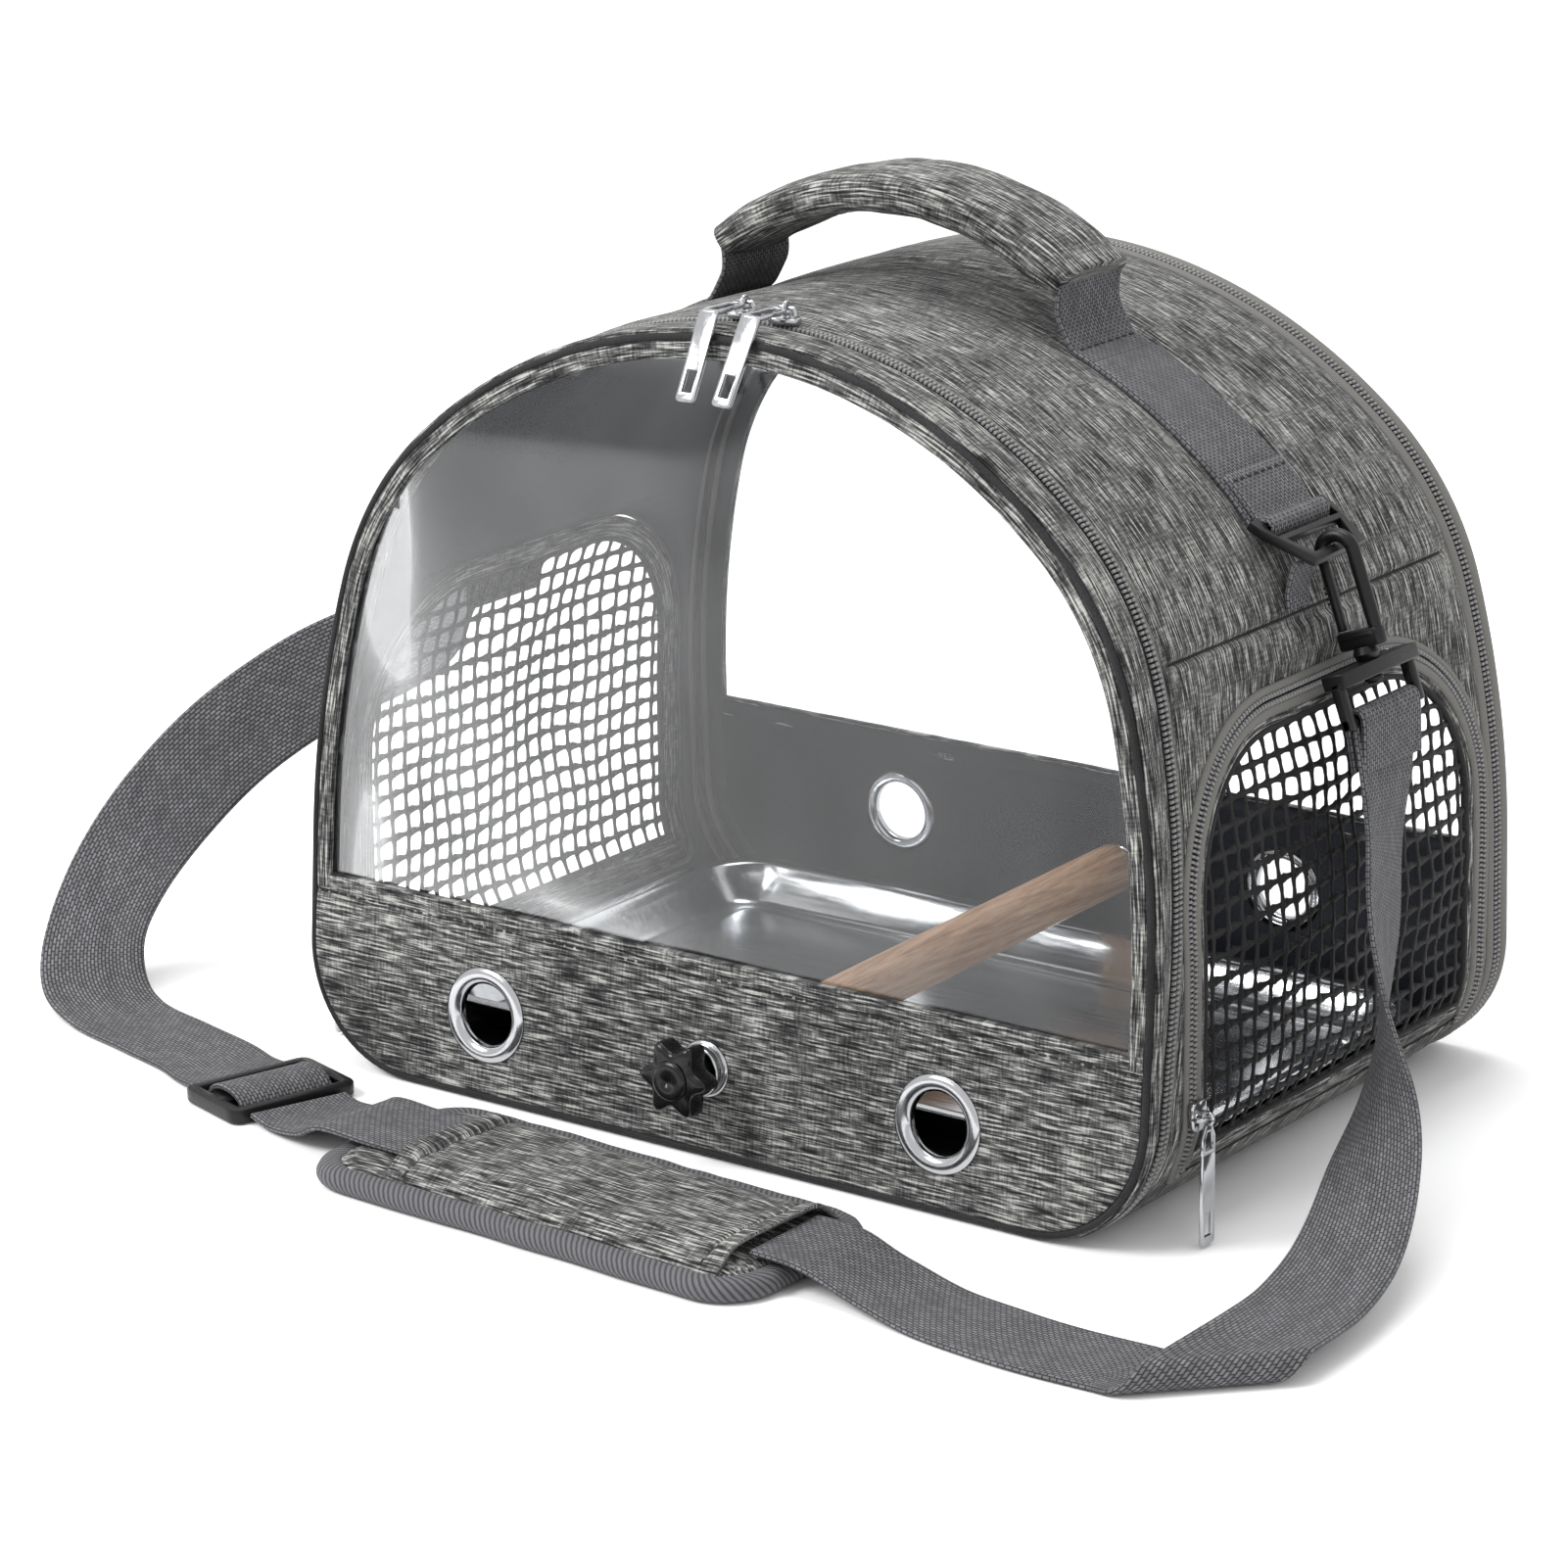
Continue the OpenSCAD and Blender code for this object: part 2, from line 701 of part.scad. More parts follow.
// ---- Strap rings, tabs and snap hooks -----------------------------------------------------------
// The ring's upper and lower bars: distance out of the shoulder and angle on its arc
ring_top = shoulder_c + (shoulder_r + 5) * [cos(37.15), sin(37.15)];
ring_low = shoulder_c + (shoulder_r + 15.5) * [cos(28.57), sin(28.57)];
ring_bar_r = 2.35;    // half the diagonal of the ring's lower bar
ring_half_w = web_w / 2 + 4;
ring_low_half = web_w / 2 - 3;

ring_run = ring_low - ring_top;
ring_len = norm(ring_run);
ring_pitch = -atan(ring_run[1] / ring_run[0]);
ring_t = 3.2;
ring_slot = web_w + 1;

module strap_ring(side) {
    mirror([side < 0 ? 1 : 0, 0, 0]) translate([ring_top[0], handle_y, ring_top[1]])
    rotate([0, ring_pitch, 0]) {
        translate([0, 0, -ring_t / 2]) linear_extrude(ring_t) difference() {
            polygon([[-2.4, -ring_half_w], [2.5, -ring_half_w], [ring_len + 1, -ring_low_half],
                [ring_len + 1, ring_low_half], [2.5, ring_half_w], [-2.4, ring_half_w]]);
            translate([2.2, -ring_slot / 2]) square([5, ring_slot]);
            polygon([[9.5, -ring_half_w + 6], [ring_len - 2.4, -ring_low_half + 3.5],
                [ring_len - 2.4, ring_low_half - 3.5], [9.5, ring_half_w - 6]]);
        }
    }
}

module strap_rings() color(black) for (side = [-1, 1]) strap_ring(side);

tab_w = 14;
tab_y = handle_y - web_w / 2 + tab_w / 2;
tab_foot_z = 193;

module ring_tabs() {
    foot = [shoulder_x(tab_foot_z) + 0.4, tab_foot_z];
    head = ring_low + [-7, -3.2];
    color(webbing_grey) for (side = [-1, 1]) mirror([side < 0 ? 1 : 0, 0, 0])
        translate([0, tab_y + tab_w / 2, 0]) rotate([90, 0, 0]) linear_extrude(tab_w)
            polygon([foot, foot + [1.6, 0], head + [1.2, -0.8], head]);
}

hung_bar = ring_low - 0.7 * unit(ring_run);       // middle of the ring's lower bar
bend_drop = hook_bend_r - hook_r - ring_bar_r - 0.25;
hook_c = hung_bar + bend_drop * [sin(hook_lean), -cos(hook_lean)];
collar_z = -32;
swivel_z = collar_z - 4.4;
swivel_h = 5;

// Local frame of a hook: Z runs up its stem, X points away from the bag
module hook_frame(side) mirror([side < 0 ? 1 : 0, 0, 0]) translate([hook_c[0], handle_y, hook_c[1]])
    rotate([0, -hook_lean, 0]) children();

gate_low = collar_z + 6.6;
gate_top = -1.4;

module hook_body(side) {
    color(black) hook_frame(side) union() {
        rotate([90, 0, 0]) rotate_extrude(angle = 180) translate([hook_bend_r, 0]) circle(hook_r);
        translate([hook_bend_r, 0, collar_z + 4]) cylinder(r = hook_r, h = -collar_z - 4);
        translate([-hook_bend_r, 0, -1]) cylinder(r = hook_r, h = 1);
        translate([-hook_bend_r - hook_r, -hook_r, collar_z]) cube([2 * (hook_bend_r + hook_r), 2 * hook_r, 6]);
        translate([0, 0, collar_z - 4]) cylinder(r = 4.6, h = 5);
        translate([0, 0, swivel_z - swivel_h - 1]) cylinder(r = 2, h = swivel_h + 6);
        translate([0, 0, swivel_z - swivel_h - 2.5]) cylinder(r = 3.4, h = 2.2);
    }
}

module hook_right() hook_body(1);
module hook_left() hook_body(-1);

module gate(side) {
    color(black) hook_frame(side)
        translate([-hook_bend_r - 1.6, -1.7, gate_low]) cube([3.2, 3.4, gate_top - gate_low]);
}

module gate_right() gate(1);
module gate_left() gate(-1);

bar_drop = swivel_z - 17;

module swivel(side) {
    color(black) hook_frame(side) union() {
        difference() {
            translate([-4.5, -24, swivel_z - swivel_h]) cube([9, 48, swivel_h]);
            translate([0, 0, swivel_z - 20]) cylinder(r = 2.3, h = 30);
        }
        for (s = [-1, 1]) translate([-2.2, s * 22 - 2, bar_drop - 2]) cube([4.4, 4, 16]);
        translate([0, 24, bar_drop]) rotate([90, 0, 0]) cylinder(r = 2, h = 48);
    }
}

module swivel_right() swivel(1);
module swivel_left() swivel(-1);

// ---- Shoulder strap ----------------------------------------------------------------------------
// Route points: place of the middle of the webbing, then the direction of its width
right_route = [
    [[185.4, 8, 153], [0, 1, 0]], [[188, 6, 134], [-0.1, 1, 0]], [[190, 2, 112], [-0.25, 1, 0]],
    [[196, -8, 88], [-0.45, 0.9, 0]], [[204, -22, 64], [-0.8, 0.7, 0]], [[216, -44, 42], [-0.95, 0.45, 0]],
    [[230, -74, 24], [-1, 0.25, 0]], [[241, -106, 11], [-1, 0.1, 0]], [[249, -138, 4], [-1, 0, 0]],
    [[249, -166, 1.6], [-0.9, -0.45, 0]], [[234, -187, 1.4], [-0.5, -0.9, 0]], [[208, -196, 1.4], [-0.1, -1, 0]],
    [[176, -196, 1.4], [0.15, -1, 0]], [[142, -189, 1.6], [0.2, -1, 0]], [[116, -184, 5], [0.1, -1, 0]],
    [[98, -183, 10], [0, -1, 0]], [[80, -183, 11], [0, -1, 0]]];
left_route = [
    [[-185.4, 8, 153], [0, 1, 0]], [[-188, 7, 144], [-0.05, 1, 0]], [[-202, -1, 131], [-0.3, 0.7, 0.5]],
    [[-222, -13, 120], [-0.5, 0.2, 0.8]],
    [[-246, -30, 106], [-0.55, -0.1, 0.8]], [[-268, -50, 86], [-0.6, -0.2, 0.75]],
    [[-282, -70, 64], [-0.75, -0.25, 0.6]], [[-290, -88, 42], [-0.9, -0.3, 0.3]],
    [[-290, -104, 22], [-1, -0.4, 0.1]], [[-280, -117, 8], [-0.8, -0.7, 0]], [[-260, -127, 2], [-0.4, -1, 0]],
    [[-230, -135, 1.4], [-0.3, -1, 0]], [[-204, -142, 1.4], [-0.3, -1, 0]], [[-188, -149, 1.8], [-0.3, -1, 0]],
    [[-175.4, -153.6, 3], [-0.3, -1, 0]]];
front_route = [
    [[-140.6, -164.3, 3], [-0.3, -1, 0]], [[-130, -168, 2.4], [-0.25, -1, 0]], [[-116, -172, 5], [-0.2, -1, 0]],
    [[-104, -175, 10.8], [-0.1, -1, 0]], [[-84, -177, 11], [-0.05, -1, 0]], [[-64.5, -178, 11], [-0.05, -1, 0]]];

function spline(p, i, t) = let (n = len(p) - 1, a = p[max(i - 1, 0)], b = p[i], c = p[i + 1], d = p[min(i + 2, n)])
    0.5 * (2 * b + (c - a) * t + (2 * a - 5 * b + 4 * c - d) * t * t + (3 * b - a - 3 * c + d) * t * t * t);
function column(route, k) = [for (r = route) r[k]];
function smooth(p, steps) = concat([for (i = [0 : len(p) - 2], s = [0 : steps - 1]) spline(p, i, s / steps)],
    [p[len(p) - 1]]);
function unit(v) = v / norm(v);

// Flat webbing swept along a route
module ribbon(route, steps = 3) {
    centre = smooth(column(route, 0), steps);
    width = smooth(column(route, 1), steps);
    n = len(centre);
    rings = [for (i = [0 : n - 1]) let (
        along = unit(centre[min(i + 1, n - 1)] - centre[max(i - 1, 0)]),
        side = unit(width[i] - (width[i] * along) * along) * web_w / 2,
        thick = unit(cross(along, side)) * web_t / 2)
        [centre[i] - side - thick, centre[i] + side - thick, centre[i] + side + thick, centre[i] - side + thick]];
    points = [for (r = rings, p = r) p];
    walls = [for (i = [0 : n - 2], k = [0 : 3]) let (a = 4 * i + k, b = 4 * i + (k + 1) % 4)
        [[a, b + 4, b], [a, a + 4, b + 4]]];
    last = 4 * (n - 1);
    polyhedron(points, concat([for (w = walls, f = w) f], [[1, 2, 3], [0, 1, 3]],
        [[last + 2, last + 1, last], [last + 3, last + 2, last]]));
}

module strap_right() color(webbing_grey) ribbon(right_route);
module strap_left() color(webbing_grey) ribbon(left_route);
module strap_front() color(webbing_grey) ribbon(front_route);

adjuster_at = [-158, -159, 3.2];
adjuster_turn = 17;

module strap_adjuster() {
    color(black) translate(adjuster_at) rotate([0, 0, -adjuster_turn]) translate([0, 0, -3]) difference() {
        rounded_plate(34, 50, 4, 6);
        for (x = [-9, 9]) translate([x, 0, 3]) cube([8, web_w + 3, 20], center = true);
    }
}

pad_at = [-2, -181];
pad_turn = -3;
pad_corner = 20;
pad_low = 0.4;

module shoulder_pad() {
    color(webbing_grey) translate([pad_at[0], pad_at[1], pad_low]) rotate([0, 0, pad_turn])
        rounded_plate(pad_l, pad_w, pad_corner, pad_t, $fn = 32);
}

sleeve_l = 142;
sleeve_w = 58;
sleeve_t = 5;

module pad_sleeve() {
    color(heather) translate([pad_at[0] + 10, pad_at[1], pad_low + pad_t]) rotate([0, 0, pad_turn])
        rounded_plate(sleeve_l, sleeve_w, 3, sleeve_t);
}

// ---- Sliders and pulls ---------------------------------------------------------------------------
slider_l = 10;
slider_w = 8.6;
slider_t = 2.4;
slider_lift = 0.9;      // the slider's shell rides clear of the teeth
side_link_l = 12;
top_link_l = 19.5;
plate_l = 31;
plate_w = 7.4;
plate_t = 1.4;
bridge_r = 0.8;
pull_gap = 0.5;

bridge_rise = 2.9;
bridge_z = slider_lift + slider_t + bridge_rise;
post_w = 1.4;
post_at = 2.7;          // half the clear width between the bridge's posts

// A slider in its own frame: X across the zip, Y along it, Z out of the cloth; the bridge may turn
module slider(bridge_turn) {
    color(chrome) union() {
        translate([-slider_w / 2, -slider_l / 2, slider_lift]) cube([slider_w, slider_l, slider_t]);
        rotate([0, 0, bridge_turn]) {
            for (s = [-1, 1]) translate([-1, s * (post_at + post_w / 2) - post_w / 2, bridge_z - bridge_rise - gap])
                cube([2, post_w, bridge_rise + 1]);
            translate([0, -post_at - gap, bridge_z]) rotate([-90, 0, 0])
                cylinder(r = bridge_r, h = 2 * (post_at + gap));
        }
    }
}

// A pull in its own frame: hinged about Y at the origin, hanging along -X
module pull(link_l, bend) {
    eye_r = bridge_r + pull_gap;
    color(chrome) union() {
        rotate([90, 0, 0]) tube(eye_r + 1.1, eye_r, -1.6, 1.6);
        translate([-link_l, -1.6, -1]) cube([link_l - eye_r - 0.4, 3.2, 2]);
        translate([-link_l, 0, 0]) rotate([0, -bend, 0]) difference() {
            translate([-plate_l, -plate_w / 2, -plate_t / 2]) cube([plate_l + 1, plate_w, plate_t]);
            translate([-plate_l + 3, -plate_w / 2 + 1.6, -5]) cube([8, plate_w - 3.2, 10]);
            translate([-3.4, -plate_w / 2 + 1.8, -5]) cube([2, plate_w - 3.6, 10]);
        }
    }
}

// Front sliders: on the crown, carried by the door, at a turn about the crown's centre
top_turn = 2.4;
top_pull_bend = 60;     // the plates hang over the front rim

module at_front_zip(turn) {
    z = crown_c[1] + (crown_r + 0.5) * cos(turn);
    translate([crown_c[0], front_y(zip_depth(z), z), crown_c[1]]) rotate([0, turn, 0])
        translate([0, 0, crown_r]) rotate([0, 0, 90]) children();
}

module front_slider_left() at_front_zip(-top_turn) slider(0);
module front_slider_right() at_front_zip(top_turn) slider(0);
module front_pull_left() at_front_zip(-top_turn) translate([0, 0, bridge_z]) pull(top_link_l, top_pull_bend);
module front_pull_right() at_front_zip(top_turn) translate([0, 0, bridge_z]) pull(top_link_l, top_pull_bend);

side_slider_z = 44;
side_slider_y = 1 - flap_half_w;

module at_side_zip(side) mirror([side < 0 ? 1 : 0, 0, 0])
    translate([half_w + teeth_out - side_tape_out, side_slider_y, side_slider_z])
    rotate([90, 0, 90]) children();

module right_slider() at_side_zip(1) slider(90);
module left_slider() at_side_zip(-1) slider(90);
module right_pull() at_side_zip(1) translate([0, 0, bridge_z]) rotate([0, 0, 90]) pull(side_link_l, 0);
module left_pull() at_side_zip(-1) translate([0, 0, bridge_z]) rotate([0, 0, 90]) pull(side_link_l, 0);

rear_slider_z = 60;

module at_rear_zip() translate([-half_w, rear_y(rear_zip_in, rear_slider_z), rear_slider_z])
    rotate([90, 0, -90]) children();

module rear_slider() at_rear_zip() slider(90);
module rear_pull() at_rear_zip() translate([0, 0, bridge_z]) rotate([0, 0, 90]) pull(side_link_l, 0);

body_shell();
body_lining();
base_board();
front_zip_track();
rear_zip_track();
side_zip_tracks();
handle_anchor_straps();
strap_rings();
ring_tabs();
front_door_rim();
front_band();
front_window();
front_piping();
front_zip_half();
vent_eyelets();
perch_eyelet();
perch_cup();
perch();
star_knob();
rear_door_rim();
rear_band();
rear_window();
rear_piping();
rear_zip_half();
rear_eyelets();
rear_perch_plate();
right_flap_frame();
right_flap_net();
left_flap_frame();
left_flap_net();
tray();
handle_webbing();
handle_grip();
front_slider_left();
front_pull_left();
front_slider_right();
front_pull_right();
rear_slider();
rear_pull();
right_slider();
right_pull();
left_slider();
left_pull();
hook_right();
gate_right();
swivel_right();
hook_left();
gate_left();
swivel_left();
strap_right();
strap_front();
strap_left();
strap_adjuster();
shoulder_pad();
pad_sleeve();
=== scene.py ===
# %% [markdown]
# # A bird travel carrier, dressed for the camera
#
# The CAD frame holds the exact solids of a soft-sided travel bag: a D-shaped body with a clear door
# in the front and in the rear, net flaps in the sides, a steel tray, a wooden perch, a grab handle
# and a shoulder strap. This notebook replaces each solid with a piece that looks sewn, moulded or
# pressed, as the real one is. Sizes are written in millimetres and turned to metres at the last step,
# because that is how the pattern of such a bag is drawn.

import math

import bmesh
import bpy
import numpy as np
from mathutils import Matrix, Vector, noise


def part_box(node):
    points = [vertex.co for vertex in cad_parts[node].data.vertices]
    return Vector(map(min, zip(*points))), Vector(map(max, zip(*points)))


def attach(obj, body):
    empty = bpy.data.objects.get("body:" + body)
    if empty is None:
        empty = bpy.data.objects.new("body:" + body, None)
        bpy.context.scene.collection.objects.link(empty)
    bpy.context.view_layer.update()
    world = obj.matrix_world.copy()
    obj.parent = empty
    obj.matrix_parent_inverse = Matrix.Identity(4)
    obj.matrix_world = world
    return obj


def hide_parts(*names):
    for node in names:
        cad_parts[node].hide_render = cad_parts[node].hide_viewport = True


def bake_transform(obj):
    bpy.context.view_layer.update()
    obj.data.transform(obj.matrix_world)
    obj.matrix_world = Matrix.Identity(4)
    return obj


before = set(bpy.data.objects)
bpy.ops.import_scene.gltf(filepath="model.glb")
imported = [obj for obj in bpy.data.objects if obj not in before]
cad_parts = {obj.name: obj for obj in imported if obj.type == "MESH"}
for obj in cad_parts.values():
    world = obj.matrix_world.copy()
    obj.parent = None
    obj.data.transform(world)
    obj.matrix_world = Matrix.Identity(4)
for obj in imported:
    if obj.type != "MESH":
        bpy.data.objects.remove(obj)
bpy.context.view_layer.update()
MM = 0.001

# %% [markdown]
# ## Camera, floor and light
#
# A product photograph is taken from a little way off with a long lens, so that the bag keeps its
# proportions. The camera could be placed by eye, but its angles were worked out from the picture's own
# corners and edges. The small shift stands for the way the picture was cropped.

# %% Camera
CAMERA_YAW, CAMERA_PITCH, CAMERA_ROLL = (math.radians(a) for a in (34.96, 15.8, -0.22))
CAMERA_DISTANCE = 1.866
CAMERA_TARGET = Vector((0, 0, 0.14))
CAMERA_LENS = 123.67

camera_data = bpy.data.cameras.new("camera")
camera_data.lens = CAMERA_LENS
camera_data.shift_x, camera_data.shift_y = -0.07795, -0.06877
camera = bpy.data.objects.new("camera", camera_data)
bpy.context.scene.collection.objects.link(camera)
back = Vector(
    (
        math.sin(CAMERA_YAW) * math.cos(CAMERA_PITCH),
        -math.cos(CAMERA_YAW) * math.cos(CAMERA_PITCH),
        math.sin(CAMERA_PITCH),
    )
)
level_right = (-back).cross(Vector((0, 0, 1))).normalized()
level_up = level_right.cross(-back)
right = math.cos(CAMERA_ROLL) * level_right + math.sin(CAMERA_ROLL) * level_up
up = math.cos(CAMERA_ROLL) * level_up - math.sin(CAMERA_ROLL) * level_right
camera.matrix_world = Matrix.Translation(CAMERA_TARGET + CAMERA_DISTANCE * back) @ Matrix(
    (right, up, back)
).transposed().to_4x4()
bpy.context.scene.camera = camera
print("camera at", [round(x, 3) for x in camera.matrix_world.translation])

# %% [markdown]
# ## Tools for meshes
#
# Nearly every sewn piece is a strip: a small cross-section carried along a line. One function makes
# them all, and it also writes a map in metres, so that a weave can follow the strip however it turns.

# %% Mesh tools
CLOTH_MAP = "cloth"


def piece(name, vertices, faces, body, slot, material, replaced=(), uvs=None, smooth=True):
    """A mesh in millimetres becomes a named piece that rides on a body."""
    mesh = bpy.data.meshes.new(name)
    mesh.from_pydata([tuple(MM * x for x in v) for v in vertices], [], [list(f) for f in faces])
    mesh.update()
    if uvs is not None:
        layer = mesh.uv_layers.new(name=CLOTH_MAP)
        layer.uv.foreach_set("vector", (MM * np.array(uvs, np.float32)).ravel())
    obj = bpy.data.objects.new(name, mesh)
    bpy.context.scene.collection.objects.link(obj)
    mesh.materials.append(material)
    if smooth:
        mesh.polygons.foreach_set("use_smooth", [True] * len(mesh.polygons))
    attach(obj, body)
    if replaced:
        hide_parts(*replaced)
    return obj


def strip_data(rings, closed_path=False, closed_ring=True, caps=True):
    """Vertices, faces and a map in millimetres for a cross-section carried along a line."""
    rings = np.array(rings, float)
    count, size = rings.shape[:2]
    along = np.concatenate([[0], np.cumsum(np.linalg.norm(np.diff(rings.mean(1), axis=0), axis=1))])
    loop_end = along[-1] + np.linalg.norm(rings[0].mean(0) - rings[-1].mean(0))
    middle = rings[count // 2]
    around = np.concatenate([[0], np.cumsum(np.linalg.norm(np.diff(middle, axis=0), axis=1))])
    ring_end = around[-1] + np.linalg.norm(middle[0] - middle[-1])
    faces, uvs = [], []
    for i in range(count if closed_path else count - 1):
        j = (i + 1) % count
        s0, s1 = along[i], (along[j] if j else loop_end)
        for k in range(size if closed_ring else size - 1):
            m = (k + 1) % size
            t0, t1 = around[k], (around[m] if m else ring_end)
            faces.append((i * size + k, j * size + k, j * size + m, i * size + m))
            uvs += [(s0, t0), (s1, t0), (s1, t1), (s0, t1)]
    if caps and not closed_path:
        faces.append(tuple(range(size)))
        uvs += [(0, t) for t in around]
        last = (count - 1) * size
        faces.append(tuple(last + k for k in reversed(range(size))))
        uvs += [(along[-1], t) for t in reversed(around)]
    return [tuple(v) for v in rings.reshape(-1, 3)], faces, uvs


def strip(name, rings, body, slot, material, replaced=(), closed_path=False, closed_ring=True, smooth=True):
    vertices, faces, uvs = strip_data(rings, closed_path, closed_ring)
    obj = piece(name, vertices, faces, body, slot, material, replaced, uvs, smooth)
    outward(obj)
    return obj


def outward(obj):
    """Turns a closed mesh's faces outward."""
    work = bmesh.new()
    work.from_mesh(obj.data)
    bmesh.ops.recalc_face_normals(work, faces=work.faces)
    work.to_mesh(obj.data)
    work.free()


def joined(parts):
    """Several (vertices, faces, map) as one."""
    vertices, faces, uvs = [], [], []
    for v, f, u in parts:
        start = len(vertices)
        vertices += list(v)
        faces += [tuple(start + i for i in face) for face in f]
        uvs += list(u)
    return vertices, faces, uvs


def apply_modifier(obj, kind, **settings):
    modifier = obj.modifiers.new(kind.lower(), kind)
    for key, value in settings.items():
        setattr(modifier, key, value)
    bpy.context.view_layer.objects.active = obj
    for other in bpy.context.selected_objects:
        other.select_set(False)
    obj.select_set(True)
    bpy.ops.object.modifier_apply(modifier=modifier.name)


def cut(obj, cutter, operation="DIFFERENCE"):
    """Cuts a piece with a helper mesh, which is then thrown away."""
    apply_modifier(obj, "BOOLEAN", object=cutter, operation=operation, solver="EXACT")
    bpy.data.objects.remove(cutter)


def helper_prism(outline, axis, low, high):
    """A cutting solid from a flat outline in millimetres: along Y for 'y', along X for 'x'."""
    n = len(outline)
    place = {"y": lambda a, b, c: (a, c, b), "x": lambda a, b, c: (c, a, b)}[axis]
    vertices = [place(a, b, low) for a, b in outline] + [place(a, b, high) for a, b in outline]
    faces = [tuple(range(n)), tuple(range(2 * n - 1, n - 1, -1))]
    faces += [(i, (i + 1) % n, n + (i + 1) % n, n + i) for i in range(n)]
    mesh = bpy.data.meshes.new("cutter")
    mesh.from_pydata([tuple(MM * x for x in v) for v in vertices], [], faces)
    obj = bpy.data.objects.new("cutter", mesh)
    bpy.context.scene.collection.objects.link(obj)
    outward(obj)
    return obj


def ripple(x, y, z, size, seed=0):
    """Smooth noise from -1 to 1 with features of about that size in millimetres."""
    return noise.noise(Vector((x / size + 13.7 * seed, y / size, z / size)))


def rounded(width, height, radius, steps=3):
    """Corner points of a rounded rectangle about the origin."""
    points = []
    for cx, cy, a in ((1, 1, 0), (-1, 1, 90), (-1, -1, 180), (1, -1, 270)):
        for k in range(steps + 1):
            t = math.radians(a + 90 * k / steps)
            points.append(
                (cx * (width / 2 - radius) + radius * math.cos(t), cy * (height / 2 - radius) + radius * math.sin(t))
            )
    return points


print("mesh tools ready")

# %% [markdown]
# ## Tools for materials
#
# A material is built from nodes. One small function adds a node, sets its values and makes its links,
# and one turns the hex colours of a paint program into the linear values that Blender works with.

# %% Material tools
def linear(code):
    values = [int(code[i : i + 2], 16) / 255 for i in (1, 3, 5)]
    return [v / 12.92 if v <= 0.04045 else ((v + 0.055) / 1.055) ** 2.4 for v in values] + [1]


def node(tree, kind, values=(), links=(), **settings):
    """Adds a node: values are (socket, number) and links are (socket, output of another node)."""
    made = tree.nodes.new("ShaderNode" + kind)
    for key, value in settings.items():
        setattr(made, key, value)
    for socket, value in values:
        made.inputs[socket].default_value = value
    for socket, output in links:
        tree.links.new(output, made.inputs[socket])
    return made


def new_material(name, **settings):
    """A material and its shader, with each setting on the shader's own socket."""
    material = bpy.data.materials.new(name)
    material.use_nodes = True
    shader = material.node_tree.nodes["Principled BSDF"]
    for key, value in settings.items():
        shader.inputs[key.replace("_", " ")].default_value = value
    return material, material.node_tree, shader


def colour_steps(tree, factor, *steps):
    """A colour ramp from a value: steps are (place, hex colour)."""
    ramp = node(tree, "ValToRGB", links=[("Fac", factor)])
    for i, (place, code) in enumerate(steps):
        mark = ramp.color_ramp.elements[i] if i < 2 else ramp.color_ramp.elements.new(place)
        mark.position, mark.color = place, linear(code)
    return ramp.outputs["Color"]


def bumped(tree, shader, height, distance, strength=1.0):
    bump = node(
        tree, "Bump", [("Distance", distance), ("Strength", strength)], [("Height", height)]
    )
    tree.links.new(bump.outputs["Normal"], shader.inputs["Normal"])


def place_in(tree, where, scale):
    """The map or the object's own coordinates, counted in units of a real size."""
    if where == "map":
        source = node(tree, "UVMap", uv_map=CLOTH_MAP).outputs["UV"]
    else:
        source = node(tree, "TexCoord").outputs["Object"]
    mapping = node(tree, "Mapping", [("Scale", scale)], [("Vector", source)])
    return mapping.outputs["Vector"]


print("material tools ready")

# %% [markdown]
# ## Cloth
#
# The bag is sewn from heather polyester: a plain weave of yarns in several greys. Along the yarn the
# colour changes slowly and across it quickly, which gives fine streaks. Noise stretched along the strip
# makes the streaks, and a second, crossed noise makes the weave's cross yarns. The real yarn is 0.3 mm
# wide, too fine for this picture, so it is drawn at about 0.8 mm.

# %% Heather cloth
YARN = 0.8 * MM
STREAK = 13 * MM


